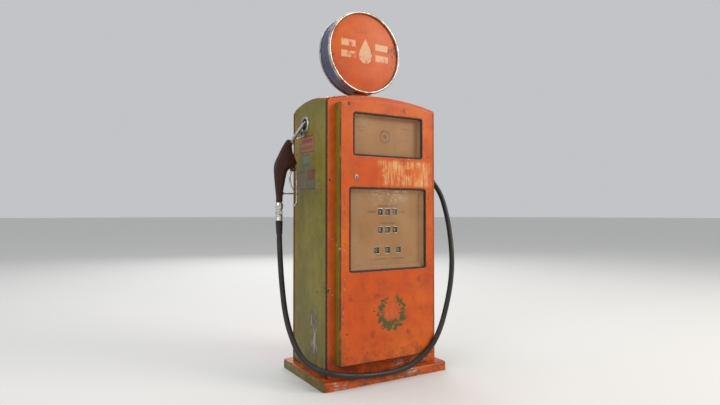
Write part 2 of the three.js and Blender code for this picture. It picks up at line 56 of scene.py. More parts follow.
# ---- places taken from the frame -----------------------------------------------------------
panel_low, panel_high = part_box("front_panel")
frame_low, frame_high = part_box("front_frame")
rear_low, rear_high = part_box("rear_frame")
side_low, side_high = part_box("left_side_panel")
base_low, base_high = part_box("base_plinth")
dial_low, dial_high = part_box("dial_plate")
sign_low, sign_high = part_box("sign_panel")
rim_low, rim_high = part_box("globe_front_rim")
_, rear_rim_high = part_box("globe_rear_rim")
door_low, door_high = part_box("rear_door")

HALF = frame_high.x
SHOULDER = 1.412
CROWN_FRONT = 0.039
CROWN_SIDE = 0.032
MIDDLE_Y = (frame_low.y + rear_high.y) / 2
HALF_DEPTH = (rear_high.y - frame_low.y) / 2
HOSE_DIAMETER = 0.028
BOOT_Y, BOOT_Z = 0.056, 1.320
LOCK_X, LOCK_Z = -0.195, 1.029
DOOR_BELOW_CROWN = 0.026


# ---- camera and light ----------------------------------------------------------------------
def make_camera():
    data = bpy.data.cameras.new("camera")
    data.sensor_width = 36
    data.sensor_fit = "HORIZONTAL"
    data.lens = 26.04
    camera = bpy.data.objects.new("camera", data)
    camera.location = (-1.4814, -2.470, 0.8556)
    camera.rotation_euler = (math.radians(91.07), 0, math.radians(-30.51))
    bpy.context.scene.collection.objects.link(camera)
    bpy.context.scene.camera = camera


def area_light(name, place, aim, size, power, colour):
    data = bpy.data.lights.new(name, "AREA")
    data.shape = "RECTANGLE"
    data.size, data.size_y = size
    data.energy = power
    data.color = colour
    light = bpy.data.objects.new(name, data)
    light.location = place
    light.rotation_euler = (Vector(aim) - Vector(place)).to_track_quat("-Z", "Y").to_euler()
    bpy.context.scene.collection.objects.link(light)


def make_studio():
    world = bpy.data.worlds.new("studio")
    world.use_nodes = True
    world.node_tree.nodes["Background"].inputs["Color"].default_value = (0.9, 0.92, 0.95, 1)
    world.node_tree.nodes["Background"].inputs["Strength"].default_value = 0.60
    bpy.context.scene.world = world
    bpy.context.scene.view_settings.view_transform = "Standard"
    area_light("key", (4.4, -4.6, 4.2), (0, 0, 0.9), (3.0, 3.0), 245, (1, 0.92, 0.82))
    area_light("fill", (-5.4, -2.6, 3.4), (0, 0, 0.9), (3.6, 3.6), 90, (0.94, 0.97, 1))
    area_light("top", (-0.4, 0.6, 6.5), (0, 0, 0.6), (5.0, 5.0), 120, (1, 1, 1))
    area_light("back", (2.2, 6.0, 3.8), (0, 0, 1.0), (3.6, 3.6), 130, (0.96, 0.98, 1))

    mesh = bpy.data.meshes.new("floor")
    reach, sides = 90, 64
    edge = [(reach * c, reach * s, 0) for c, s in around(sides)]
    mesh.from_pydata(edge, [], [tuple(range(sides))])
    floor = bpy.data.objects.new("floor", mesh)
    bpy.context.scene.collection.objects.link(floor)
    material = bpy.data.materials.new("floor")
    material.use_nodes = True
    shader = material.node_tree.nodes["Principled BSDF"]
    shader.inputs["Base Color"].default_value = (0.72, 0.71, 0.69, 1)
    shader.inputs["Roughness"].default_value = 0.85
    mesh.materials.append(material)


# ---- shader graphs -------------------------------------------------------------------------
class Graph:
    """One material and short ways to add nodes to it. Coordinates are the piece's own, in metres."""

    def __init__(self, name, **even):
        self.material = bpy.data.materials.new(name)
        self.material.use_nodes = True
        self.tree = self.material.node_tree
        self.shader = self.tree.nodes["Principled BSDF"]
        self.coordinates = self.node("ShaderNodeTexCoord")
        self.place = self.coordinates.outputs["Object"]
        split = self.node("ShaderNodeSeparateXYZ")
        self.link(self.place, split.inputs[0])
        self.x, self.y, self.z = split.outputs
        for socket, value in even.items():
            self.shader.inputs[socket.replace("_", " ")].default_value = value

    def node(self, kind, **settings):
        node = self.tree.nodes.new(kind)
        for key, value in settings.items():
            setattr(node, key, value)
        return node

    def link(self, source, target):
        if isinstance(source, (int, float)):
            target.default_value = source
        elif isinstance(source, tuple):
            target.default_value = (*source, 1)[:len(target.default_value)]
        else:
            self.tree.links.new(source, target)

    def math(self, operation, first, second=0.0, clamp=False):
        node = self.node("ShaderNodeMath", operation=operation, use_clamp=clamp)
        self.link(first, node.inputs[0])
        self.link(second, node.inputs[1])
        return node.outputs[0]

    def add(self, first, second):
        return self.math("ADD", first, second)

    def times(self, first, *others):
        for other in others:
            first = self.math("MULTIPLY", first, other)
        return first

    def minus(self, first, second):
        return self.math("SUBTRACT", first, second)

    def highest(self, first, *others):
        for other in others:
            first = self.math("MAXIMUM", first, other)
        return first

    def inverse(self, value):
        return self.math("SUBTRACT", 1.0, value, clamp=True)

    def step(self, value, low, high):
        """0 below low and 1 above high, smooth between."""
        node = self.node("ShaderNodeMapRange", interpolation_type="SMOOTHSTEP")
        self.link(value, node.inputs["Value"])
        self.link(low, node.inputs["From Min"])
        self.link(high, node.inputs["From Max"])
        return node.outputs[0]

    def band(self, value, low, high, soft):
        rise = self.step(value, low - soft, low + soft)
        fall = self.step(value, high - soft, high + soft)
        return self.times(rise, self.inverse(fall))

    def away(self, x, z):
        """Offsets along X and Z from a point on the front, and the distance from it."""
        dx, dz = self.minus(self.x, x), self.minus(self.z, z)
        return dx, dz, self.math("SQRT", self.add(self.times(dx, dx), self.times(dz, dz)))

    def scaled(self, scale):
        node = self.node("ShaderNodeMapping")
        self.link(self.place, node.inputs["Vector"])
        node.inputs["Scale"].default_value = scale
        return node.outputs[0]

    def streaks(self, scale, rough=0.68):
        """Noise drawn out into runs: the smaller a scale, the longer the runs that way."""
        return self.noise(1.0, 5, rough, at=self.scaled(scale))

    def noise(self, scale, detail=3.0, rough=0.55, at=None, bend=0.0):
        node = self.node("ShaderNodeTexNoise")
        self.link(at or self.place, node.inputs["Vector"])
        node.inputs["Scale"].default_value = scale
        node.inputs["Detail"].default_value = detail
        node.inputs["Roughness"].default_value = rough
        node.inputs["Distortion"].default_value = bend
        return node.outputs["Fac"]

    def cells(self, scale):
        node = self.node("ShaderNodeTexVoronoi", feature="F1")
        self.link(self.place, node.inputs["Vector"])
        node.inputs["Scale"].default_value = scale
        return node.outputs["Distance"]

    def mix(self, share, first, second):
        node = self.node("ShaderNodeMix", data_type="RGBA")
        self.link(share, node.inputs[0])
        self.link(first, node.inputs[6])
        self.link(second, node.inputs[7])
        return node.outputs[2]

    def blend(self, share, first, second):
        node = self.node("ShaderNodeMix", data_type="FLOAT")
        self.link(share, node.inputs[0])
        self.link(first, node.inputs[2])
        self.link(second, node.inputs[3])
        return node.outputs[0]

    def facing(self):
        """The shares along X, Y and Z of the way a face looks."""
        split = self.node("ShaderNodeSeparateXYZ")
        self.link(self.coordinates.outputs["Normal"], split.inputs[0])
        return split.outputs

    def outward(self, axis):
        """1 on faces that look down the axis, which are the pump's left and front outsides."""
        return self.inverse(self.step(self.facing()["xyz".index(axis)], -0.70, -0.50))

    def edges(self, radius):
        """1 along the piece's sharp and worn edges."""
        soft = self.node("ShaderNodeBevel", samples=4)
        soft.inputs["Radius"].default_value = radius
        true = self.node("ShaderNodeNewGeometry")
        dot = self.node("ShaderNodeVectorMath", operation="DOT_PRODUCT")
        self.link(soft.outputs[0], dot.inputs[0])
        self.link(true.outputs["Normal"], dot.inputs[1])
        return self.inverse(dot.outputs["Value"])

    def bump(self, height, strength, distance):
        node = self.node("ShaderNodeBump")
        node.inputs["Strength"].default_value = strength
        node.inputs["Distance"].default_value = distance
        self.link(height, node.inputs["Height"])
        return node.outputs[0]

    def finish(self, colour=None, roughness=None, metallic=None, normal=None):
        for socket, value in (("Base Color", colour), ("Roughness", roughness), ("Metallic", metallic)):
            if value is not None:
                self.link(value, self.shader.inputs[socket])
        if normal is not None:
            self.link(normal, self.shader.inputs["Normal"])
        return self.material


ORANGE = (0.570, 0.076, 0.0014)
ORANGE_DEEP = (0.360, 0.040, 0.0012)
ORANGE_FADED = (0.650, 0.118, 0.0040)
# The OLIVE colours are painted shade: the orange enamel's look on faces turned to the sides.
OLIVE = (0.165, 0.130, 0.006)
OLIVE_DEEP = (0.090, 0.072, 0.005)
OLIVE_FADED = (0.225, 0.180, 0.014)
PRIMER = (0.085, 0.030, 0.016)
RUST = (0.115, 0.036, 0.012)
BARE = (0.62, 0.56, 0.47)
GRIME = (0.030, 0.022, 0.014)


def enamel_base(g, colour, deep, faded):
    """Old enamel's uneven colour: sun fading, mottling and thin dirt runs."""
    drift = g.step(g.noise(2.6, 4), 0.38, 0.66)
    paint = g.mix(drift, colour, faded)
    mottle = g.step(g.noise(17, 6, 0.7), 0.42, 0.72)
    paint = g.mix(g.times(mottle, 0.42), paint, deep)
    runs = g.step(g.streaks((46, 46, 2.2), 0.6), 0.55, 0.78)
    return g.mix(g.times(runs, 0.22), paint, deep)


def enamel_wear(g, edge_radius, chips_from):
    """The edges, and the shares of the surface that are scuffed through to primer and to metal."""
    edge = g.edges(edge_radius)
    rough_edge = g.add(edge, g.times(g.minus(g.noise(60, 4, 0.7), 0.5), 0.55))
    worn_edge = g.step(rough_edge, 0.10, 0.10 + 0.10)
    worn_edge = g.times(worn_edge, g.step(edge, 0.015, 0.06))
    spots = g.times(g.noise(48, 5, 0.62), g.step(g.noise(5.5, 3), 0.40, 0.66))
    chips = g.step(spots, chips_from, chips_from + 0.020)
    primer = g.highest(worn_edge, chips)
    metal = g.times(primer, g.step(g.noise(85, 3, 0.6), 0.52, 0.62))
    return edge, primer, metal


def two_tone(name, edge_radius=0.006, chips_from=0.60, extra=None):
    """Orange enamel on faces to the front, back and top; faces to the sides get painted shade, the OLIVE
    colours that stand for the same enamel's shaded side.
    """
    g = Graph(name, Specular_IOR_Level=0.32, Coat_Weight=0.08, Coat_Roughness=0.20)
    orange = enamel_base(g, ORANGE, ORANGE_DEEP, ORANGE_FADED)
    shaded_side_paint = enamel_base(g, OLIVE, OLIVE_DEEP, OLIVE_FADED)
    # Painted shade: faces turned to the sides take the OLIVE colours in place of the orange.
    side_shade_share = g.step(g.math("ABSOLUTE", g.facing()[0]), 0.60, 0.68)
    paint = g.mix(side_shade_share, orange, shaded_side_paint)
    edge, primer, metal = enamel_wear(g, edge_radius, chips_from)
    bare = g.mix(g.step(g.noise(28, 4), 0.42, 0.6), PRIMER, RUST)
    bare = g.mix(metal, bare, BARE)
    dirt = g.times(g.step(g.noise(9, 6, 0.7), 0.46, 0.75), 0.30)
    low = g.times(g.inverse(g.step(g.z, 0.02, 0.30)), g.step(g.noise(22, 5, 0.65), 0.40, 0.60))
    paint = g.mix(g.highest(dirt, g.times(low, 0.55)), paint, GRIME)
    seam = g.times(g.step(edge, 0.02, 0.14), g.step(g.noise(16, 4, 0.6), 0.30, 0.52))
    paint = g.mix(g.times(seam, 0.78), paint, GRIME)
    if extra:
        paint, primer, metal = extra(g, paint, primer, metal)
        bare = g.mix(metal, bare, BARE)
    colour = g.mix(primer, paint, bare)
    smooth = g.blend(g.noise(14, 5, 0.6), 0.32, 0.60)
    roughness = g.blend(primer, smooth, g.blend(metal, 0.78, 0.30))
    height = g.add(g.times(g.noise(9, 2), 0.8), g.times(g.noise(330, 2), 0.05))
    height = g.minus(height, g.times(primer, 0.22))
    normal = g.bump(height, 0.55, 0.0016)
    return g.finish(colour, roughness, g.times(metal, 0.85), normal)


# The middle of the door's garland: x and z.
GARLAND = (0.016, 0.352)
# Blots and flaked spots on the door: x, z, size, and whether the paint is gone.
MARKS = [
    (-0.238, 1.388, 0.012, True), (LOCK_X, LOCK_Z, 0.019, False), (-0.075, 0.435, 0.020, False),
    (0.181, 0.502, 0.020, False), (-0.100, 0.245, 0.018, False), (0.118, 0.236, 0.020, False),
    (0.198, 0.345, 0.018, False), (-0.228, 0.430, 0.014, False), (0.170, 0.170, 0.018, False),
    (-0.262, 0.700, 0.007, True), (0.250, 0.930, 0.008, True), (0.246, 1.150, 0.006, True),
    (-0.250, 0.560, 0.008, True), (0.040, 0.120, 0.011, True), (0.262, 0.600, 0.006, True),
    (-0.130, 0.160, 0.007, True),
]


def scraped(g, paint, primer, metal):
    """The door's marks: a scraped patch with light cream streaks that are partly painted highlight, a worn
    garland, a line of painted shade along the door's sides and foot for the shadowed gap to the frame, and
    its spots.
    """
    streak = g.streaks((150, 20, 7.5))
    across = g.band(g.x, -0.055, 0.262, 0.03)
    upright = g.band(g.z, 0.992, 1.118, 0.012)
    outer = g.outward("y")
    patch = g.times(across, upright, g.step(g.noise(13, 4, 0.6), 0.34, 0.56))
    patch = g.times(patch, outer)
    ragged = g.step(g.noise(26, 4, 0.6), 0.36, 0.60)
    scrape = g.times(patch, g.step(streak, 0.49, 0.56), ragged)
    glint = g.times(scrape, g.step(g.noise(1.0, 4, 0.6, at=g.scaled((210, 20, 26))), 0.49, 0.55))
    # Partly painted highlight: the scraped streaks are tinted light cream, a real under-layer that also
    # stands in for the bare metal's glints.
    streak_tint_and_highlight = g.times(patch, g.step(streak, 0.40, 0.52), 0.65)
    paint = g.mix(streak_tint_and_highlight, paint, (0.80, 0.36, 0.10))

    dx, dz, radius = g.away(*GARLAND)
    angle = g.math("ARCTAN2", dz, dx)
    leaf = g.times(g.math("SINE", g.times(angle, 15.0)), 0.007)
    uneven = g.times(g.minus(g.noise(30, 4, 0.6), 0.5), 0.035)
    shifted = g.add(radius, g.add(leaf, uneven))
    fuller = g.times(g.inverse(g.step(dz, -0.060, -0.010)), 0.012)
    within = g.inverse(g.step(g.minus(shifted, fuller), 0.080, 0.087))
    ring = g.times(g.step(g.add(shifted, fuller), 0.050, 0.057), within)
    gap = g.times(g.step(dz, 0.030, 0.060), g.inverse(g.step(g.math("ABSOLUTE", dx), 0.012, 0.034)))
    ring = g.times(ring, g.inverse(gap), outer)
    kept = g.step(g.noise(38, 5, 0.7), 0.38, 0.50)
    green = g.mix(g.noise(70, 3), (0.020, 0.055, 0.014), (0.070, 0.115, 0.020))
    paint = g.mix(g.times(ring, kept, 0.96), paint, green)
    disc = g.inverse(g.step(g.add(radius, uneven), 0.036, 0.050))
    disc = g.times(disc, g.step(g.noise(46, 5, 0.7), 0.46, 0.60))
    paint = g.mix(g.times(disc, outer, 0.40), paint, (0.42, 0.15, 0.07))
    # Painted shade: a dark line along the door's sides and foot, for the shadowed gap between door and
    # frame.
    away = g.math("ABSOLUTE", g.x)
    line = g.highest(g.band(away, 0.2795, 0.2868, 0.0012), g.band(g.z, 0.1045, 0.1110, 0.0012))
    line = g.times(line, g.step(g.noise(19, 4, 0.6), 0.26, 0.50))
    paint = g.mix(g.times(line, 0.82), paint, GRIME)
    blots, flakes = 0.0, 0.0
    for x, z, size, deep in MARKS:
        _, _, radius = g.away(x, z)
        uneven = g.noise(48, 5, 0.72) if deep else g.noise(30, 5, 0.68)
        ragged_edge = g.add(radius, g.times(g.minus(uneven, 0.5), size * 3.6))
        spot = g.inverse(g.step(ragged_edge, size * 0.35, size * (0.55 if deep else 1.0)))
        if deep:
            flakes = g.highest(flakes, spot)
        else:
            blots = g.highest(blots, spot)
    paint = g.mix(g.times(blots, 0.42), paint, (0.10, 0.032, 0.008))
    # Partly painted highlight: the scrape shows a light cream under-layer, also standing in for the glints
    # of the scraped metal.
    undercoat_and_highlight = g.mix(g.noise(50, 3), (0.86, 0.50, 0.20), (0.70, 0.34, 0.12))
    paint = g.mix(g.times(scrape, 0.85), paint, undercoat_and_highlight)
    primer = g.highest(primer, g.times(glint, 0.9), flakes)
    return paint, primer, g.highest(metal, glint)


def footworn(g, paint, primer, metal):
    """The plinth's front, where boots and the hose have rubbed it."""
    front = g.inverse(g.step(g.y, base_low.y + 0.004, base_low.y + 0.014))
    rub = g.highest(g.band(g.x, 0.100, 0.210, 0.030), g.band(g.x, -0.330, -0.240, 0.030))
    rub = g.times(rub, front, g.step(g.streaks((26, 30, 70)), 0.50, 0.58))
    return paint, g.highest(primer, g.times(rub, 0.9)), g.highest(metal, g.times(rub, 0.7))


def edged(g, paint, primer, metal):
    """A face frame's faces to the sides, darkened with painted shade for the shadowed gap beside them, and
    the rubbed paint on its foot rail.
    """
    # Painted shade: the frame's faces to the sides go dark, for the shadowed gap beside them.
    return_gap_shade = g.step(g.math("ABSOLUTE", g.facing()[0]), 0.55, 0.75)
    rub = g.times(g.band(g.x, 0.040, 0.125, 0.02), g.band(g.z, 0.052, 0.084, 0.008))
    rub = g.times(rub, g.step(g.streaks((40, 30, 120)), 0.50, 0.56))
    paint = g.mix(g.times(return_gap_shade, 0.88), paint, GRIME)
    return paint, g.highest(primer, g.times(rub, 0.9)), g.highest(metal, g.times(rub, 0.8))


def labelled(g, paint, primer, metal):
    """The left side's blank labels, painted shade along its front and rear edges, and the rubbed patch near
    its foot.
    """
    outer = g.times(g.inverse(g.step(g.x, -0.10, 0.0)), g.outward("x"))
    kept = g.step(g.noise(42, 5, 0.7), 0.36, 0.46)

    def area(y0, y1, z0, z1):
        return g.times(g.band(g.y, y0, y1, 0.0012), g.band(g.z, z0, z1, 0.0012), outer)

    red = (0.26, 0.028, 0.014)
    teal = (0.055, 0.095, 0.085)
    buff = (0.30, 0.235, 0.120)
    shapes = [
        (area(-0.050, 0.120, 1.168, 1.258), red, 0.92),
        (area(-0.042, 0.112, 1.177, 1.249), buff, 0.60),
        (area(-0.034, 0.104, 1.219, 1.242), red, 0.85),
        (area(-0.034, 0.104, 1.184, 1.207), red, 0.70),
        (area(0.000, 0.092, 1.092, 1.160), teal, 0.90),
        (area(0.008, 0.084, 1.118, 1.152), buff, 0.45),
        (area(-0.060, 0.026, 0.972, 1.076), (0.060, 0.050, 0.042), 0.88),
        (area(-0.052, 0.018, 1.030, 1.066), red, 0.70),
        (area(-0.052, 0.018, 0.982, 1.022), buff, 0.30),
        (area(0.040, 0.128, 0.972, 1.076), (0.085, 0.060, 0.040), 0.88),
        (area(0.048, 0.120, 0.984, 1.064), buff, 0.34),
    ]
    for mask, colour, share in shapes:
        paint = g.mix(g.times(mask, kept, share), paint, colour)
    lines = g.step(g.math("SINE", g.times(g.z, 900.0)), 0.2, 0.6)
    text = g.highest(area(0.012, 0.080, 1.122, 1.148), area(-0.046, 0.012, 0.986, 1.018),
                     area(0.054, 0.114, 0.990, 1.058))
    paint = g.mix(g.times(text, lines, 0.45), paint, (0.05, 0.04, 0.03))

    # Painted shade: dark bands along the side sheet's front and rear edges, for the shadowed gaps to the
    # frames.
    seam = g.highest(g.inverse(g.step(g.y, side_low.y + 0.004, side_low.y + 0.009)),
                     g.step(g.y, side_high.y - 0.009, side_high.y - 0.004))
    paint = g.mix(g.times(seam, 0.85), paint, GRIME)
    rub = g.times(g.band(g.y, -0.120, 0.020, 0.05), g.band(g.z, 0.08, 0.42, 0.09), outer)
    worn = g.step(g.times(rub, g.streaks((40, 44, 12))), 0.47, 0.53)
    scuff = g.step(g.times(rub, g.noise(18, 5, 0.7)), 0.38, 0.56)
    paint = g.mix(g.times(scuff, 0.7), paint, (0.07, 0.06, 0.05))
    return paint, g.highest(primer, g.times(worn, 0.9)), g.highest(metal, g.times(worn, 0.55))


def metal_finish(name, colour, tarnish, roughness, pits=0.5, brushed=(1, 1, 1), rust=0.0):
    g = Graph(name, Specular_IOR_Level=0.5)
    drift = g.noise(24, 5, 0.65)
    brush = g.noise(190, 3, 0.6, at=g.scaled(brushed))
    tint = g.mix(g.step(drift, 0.42, 0.70), colour, tarnish)
    tint = g.mix(g.times(g.step(brush, 0.45, 0.75), 0.25), tint, tarnish)
    edge = g.edges(0.002)
    tint = g.mix(g.times(g.step(edge, 0.03, 0.20), 0.5), tint, tuple(min(1, 1.25 * c) for c in colour))
    spot = g.step(g.noise(130, 4, 0.7), 0.66 - 0.10 * rust, 0.72)
    spot = g.times(spot, g.step(g.noise(9, 3), 0.40, 0.62))
    tint = g.mix(g.times(spot, pits), tint, RUST)
    rough = g.blend(drift, roughness * 0.75, roughness * 1.45)
    rough = g.blend(spot, rough, 0.8)
    height = g.minus(g.times(brush, 0.18), g.times(spot, 0.6))
    return g.finish(tint, rough, g.blend(spot, 1.0, 0.25), g.bump(height, 0.35, 0.0006))


def rubber_finish(name, colour, roughness=0.48):
    g = Graph(name, Specular_IOR_Level=0.45)
    dust = g.step(g.noise(11, 6, 0.7), 0.46, 0.74)
    tint = g.mix(g.times(dust, 0.35), colour, (0.085, 0.072, 0.060))
    scuffs = g.step(g.noise(1.0, 4, 0.65, at=g.scaled((60, 60, 160))), 0.62, 0.70)
    tint = g.mix(g.times(scuffs, 0.4), tint, (0.13, 0.12, 0.11))
    rough = g.blend(g.highest(dust, scuffs), roughness, 0.82)
    weave = g.noise(420, 2)
    return g.finish(tint, rough, 0.0, g.bump(weave, 0.25, 0.0006))


def cast_finish(name, colour, roughness=0.6, metallic=0.7, gloss=0.0, grain=0.30, chips_from=0.50,
                specular=0.5):
    g = Graph(name, Specular_IOR_Level=specular, Coat_Weight=gloss, Coat_Roughness=0.12)
    sand = g.noise(260, 4, 0.7)
    drift = g.step(g.noise(12, 5, 0.65), 0.40, 0.70)
    tint = g.mix(g.times(drift, 0.6), colour, tuple(0.45 * c for c in colour))
    _, primer, _ = enamel_wear(g, 0.003, chips_from)
    tint = g.mix(g.times(primer, 0.8), tint, BARE)
    rough = g.blend(drift, roughness, min(0.95, roughness * 1.4))
    rough = g.blend(primer, rough, 0.38)
    shine = g.blend(primer, metallic, 0.9)
    return g.finish(tint, rough, shine, g.bump(sand, grain, 0.0008))


def printed_face(name, colour, faded, marks):
    """A printed face plate: yellowed enamel with faint bars where its captions were."""
    g = Graph(name, Specular_IOR_Level=0.4, Coat_Weight=0.15, Coat_Roughness=0.3)
    tint = g.mix(g.step(g.noise(3.4, 4), 0.36, 0.66), colour, faded)
    tint = g.mix(g.times(g.step(g.noise(38, 5, 0.7), 0.50, 0.74), 0.35), tint, (0.24, 0.13, 0.06))
    damp = g.inverse(g.step(g.add(g.z, g.times(g.noise(12, 4), 0.03)), marks["low"], marks["low"] + 0.05))
    tint = g.mix(g.times(damp, 0.25), tint, (0.22, 0.12, 0.06))
    ink = (0.13, 0.075, 0.045)
    kept = g.step(g.noise(95, 4, 0.65), 0.40, 0.52)
    dashes = g.step(g.math("SINE", g.times(g.x, 780.0)), -0.55, -0.35)
    for x0, x1, z0, z1, share in marks["bars"]:
        bar = g.times(g.band(g.x, x0, x1, 0.0008), g.band(g.z, z0, z1, 0.0008))
        tint = g.mix(g.times(bar, kept, dashes, share), tint, ink)
    for x, z, inner, outer, share in marks["rings"]:
        _, _, radius = g.away(x, z)
        ring = g.band(radius, inner, outer, 0.001)
        tint = g.mix(g.times(ring, kept, share), tint, ink)
    rough = g.blend(g.noise(20, 4), 0.34, 0.58)
    return g.finish(tint, rough, 0.0, g.bump(g.noise(240, 2), 0.12, 0.0005))


def glass_finish(name, dust_from):
    """Clear plate glass with a film of dust, and small specks at its head."""
    g = Graph(name, Roughness=0.03, IOR=1.45, Transmission_Weight=1.0)
    g.shader.inputs["Base Color"].default_value = (0.93, 0.96, 0.94, 1)
    film = g.times(g.step(g.noise(8, 5, 0.65), 0.35, 0.8), 0.05)
    specks = g.inverse(g.step(g.add(g.cells(150), g.times(g.noise(300, 3), 0.30)), 0.36, 0.47))
    specks = g.times(specks, g.step(g.z, dust_from, dust_from + 0.07))
    specks = g.times(specks, g.band(g.x, -0.105, 0.120, 0.03))
    specks = g.times(specks, g.step(g.noise(26, 3), 0.42, 0.54))
    share = g.add(film, g.times(specks, 0.85))
    dull = g.node("ShaderNodeBsdfDiffuse")
    dull.inputs["Color"].default_value = (0.90, 0.76, 0.54, 1)
    pane = g.node("ShaderNodeBsdfTransparent")
    pane.inputs["Color"].default_value = (0.93, 0.95, 0.93, 1)
    shine = g.node("ShaderNodeBsdfGlossy")
    shine.inputs["Roughness"].default_value = 0.04
    facing = g.node("ShaderNodeLayerWeight")
    facing.inputs["Blend"].default_value = 0.5
    glare = g.add(g.times(g.math("POWER", facing.outputs["Facing"], 4.0), 0.45), 0.02)
    clear = g.node("ShaderNodeMixShader")
    g.link(glare, clear.inputs[0])
    g.link(pane.outputs[0], clear.inputs[1])
    g.link(shine.outputs[0], clear.inputs[2])
    both = g.node("ShaderNodeMixShader")
    g.link(share, both.inputs[0])
    g.link(clear.outputs[0], both.inputs[1])
    g.link(dull.outputs[0], both.inputs[2])
    g.link(both.outputs[0], g.tree.nodes["Material Output"].inputs["Surface"])
    return g.material


def lens_finish(name):
    """The sign's painted lens: orange, with a worn cream mark of a plain drop between pairs of bars."""
    g = Graph(name, Specular_IOR_Level=0.35, Coat_Weight=0.08, Coat_Roughness=0.25)
    paint = enamel_base(g, ORANGE, ORANGE_DEEP, ORANGE_FADED)
    patches = g.step(g.noise(11, 6, 0.72), 0.52, 0.60)
    paint = g.mix(g.times(patches, 0.35), paint, (0.55, 0.13, 0.03))
    dx = g.math("ABSOLUTE", g.x)
    dz = g.minus(g.z, 1.739)
    low = g.minus(dz, -0.020)
    round_part = g.math("SQRT", g.add(g.times(g.x, g.x), g.times(low, low)))
    drop = g.inverse(g.step(round_part, 0.041, 0.0425))
    slant = g.add(g.times(dx, 1.9), g.math("ABSOLUTE", g.minus(dz, 0.003)))
    taper = g.times(g.inverse(g.step(slant, 0.072, 0.075)), g.step(dz, 0.000, 0.001))
    mark = g.highest(drop, taper)
    for z in (0.022, -0.040):
        bar = g.times(g.band(dx, 0.064, 0.150, 0.0014), g.band(dz, z, z + 0.036, 0.0014))
        mark = g.highest(mark, bar)
    kept = g.step(g.noise(22, 6, 0.66), 0.37, 0.46)
    cream = g.mix(g.noise(60, 3), (0.66, 0.40, 0.20), (0.76, 0.52, 0.29))
    paint = g.mix(g.times(mark, kept, 0.85), paint, cream)
    spots = g.times(g.noise(62, 5, 0.64), g.step(g.noise(7, 3), 0.42, 0.66))
    chips = g.step(spots, 0.55, 0.58)
    paint = g.mix(chips, paint, (0.20, 0.085, 0.04))
    rough = g.blend(g.noise(16, 5, 0.6), 0.38, 0.62)
    height = g.minus(g.times(g.noise(8, 2), 0.5), g.times(chips, 0.2))
    return g.finish(paint, g.blend(chips, rough, 0.7), 0.0, g.bump(height, 0.35, 0.0012))


def lamp_finish(name):
    g = Graph(name, Roughness=0.3, Specular_IOR_Level=0.5)
    tint = g.mix(g.noise(30, 4), (0.82, 0.76, 0.62), (0.90, 0.87, 0.78))
    tint = g.mix(g.times(g.step(g.noise(90, 4), 0.55, 0.7), 0.4), tint, (0.45, 0.38, 0.28))
    return g.finish(tint, g.blend(g.noise(20, 3), 0.22, 0.40), 0.0, g.bump(g.noise(300, 2), 0.1, 0.0004))


def ink_finish(name):
    g = Graph(name, Specular_IOR_Level=0.4)
    tint = g.mix(g.step(g.noise(120, 4, 0.65), 0.40, 0.62), (0.62, 0.54, 0.40), (0.40, 0.33, 0.23))
    return g.finish(tint, g.blend(g.noise(60, 3), 0.45, 0.65), 0.0, g.bump(g.noise(500, 2), 0.1, 0.0003))


def make_materials():
    bars = [(-0.052, 0.072, 0.884, 0.893, 0.95), (-0.112, -0.058, 0.851, 0.863, 0.85),
            (0.078, 0.118, 0.851, 0.863, 0.85), (-0.034, 0.054, 0.795, 0.804, 0.95),
            (-0.094, 0.114, 0.612, 0.620, 0.85), (-0.060, 0.080, 0.632, 0.637, 0.55)]
    for row in (0.701, 0.721):
        bars.append((-0.030, 0.050, row, row + 0.004, 0.30))
    dial_marks = {"low": 0.57, "bars": bars, "rings": []}
    sign_bars = [(-0.182, -0.112, 1.282, 1.291, 0.6), (-0.172, -0.120, 1.266, 1.272, 0.5),
                 (0.094, 0.156, 1.290, 1.298, 0.6), (0.104, 0.150, 1.262, 1.268, 0.5),
                 (0.104, 0.150, 1.232, 1.238, 0.5)]
    rings = [(-0.005, 1.245, 0.026, 0.033, 0.75), (-0.005, 1.245, 0.000, 0.013, 0.65)]
    sign_marks = {"low": 1.13, "bars": sign_bars, "rings": rings}
    return {
        "enamel": two_tone("enamel_painted_side_shade"),
        "base": two_tone("base_enamel", 0.006, 0.585, footworn),
        "door": two_tone("door_enamel", 0.007, 0.585, scraped),
        "side": two_tone("side_enamel", 0.005, 0.590, labelled),
        "frame": two_tone("frame_enamel", 0.006, 0.60, edged),
        "dial": printed_face("dial_face", (0.48, 0.200, 0.066), (0.56, 0.262, 0.098), dial_marks),
        "sign": printed_face("sign_face", (0.49, 0.196, 0.062), (0.57, 0.256, 0.092), sign_marks),
        "glass_low": glass_finish("glass_lower", 0.87),
        "glass_high": glass_finish("glass_upper", 1.36),
        "lens": lens_finish("lens_enamel"),
        "rubber": rubber_finish("seal_rubber", (0.016, 0.014, 0.013)),
        "hose": rubber_finish("hose_rubber", (0.013, 0.011, 0.010), 0.40),
        "steel": metal_finish("worn_steel", (0.52, 0.50, 0.47), (0.22, 0.19, 0.16), 0.30, 0.6),
        "chrome": metal_finish("old_chrome", (0.78, 0.77, 0.74), (0.48, 0.44, 0.38), 0.12, 0.5),
        "drum": cast_finish("drum_enamel", (0.085, 0.105, 0.175), 0.40, 0.45, 0.2, 0.10, 0.58),
        "nozzle": cast_finish("nozzle_lacquer", (0.050, 0.013, 0.007), 0.34, 0.05, 0.15, 0.10, 0.60, 0.28),
        "cast": cast_finish("cast_metal", (0.105, 0.100, 0.092), 0.62, 0.6),
        "machine": cast_finish("machine_enamel", (0.045, 0.085, 0.062), 0.45, 0.1, 0.3),
        "brass": metal_finish("meter_brass", (0.52, 0.34, 0.12), (0.22, 0.13, 0.05), 0.34, 0.4),
        "counter": rubber_finish("counter_black", (0.030, 0.022, 0.017), 0.5),
        "ink": ink_finish("counter_ink"),
        "lamp": lamp_finish("lamp_opal"),
    }


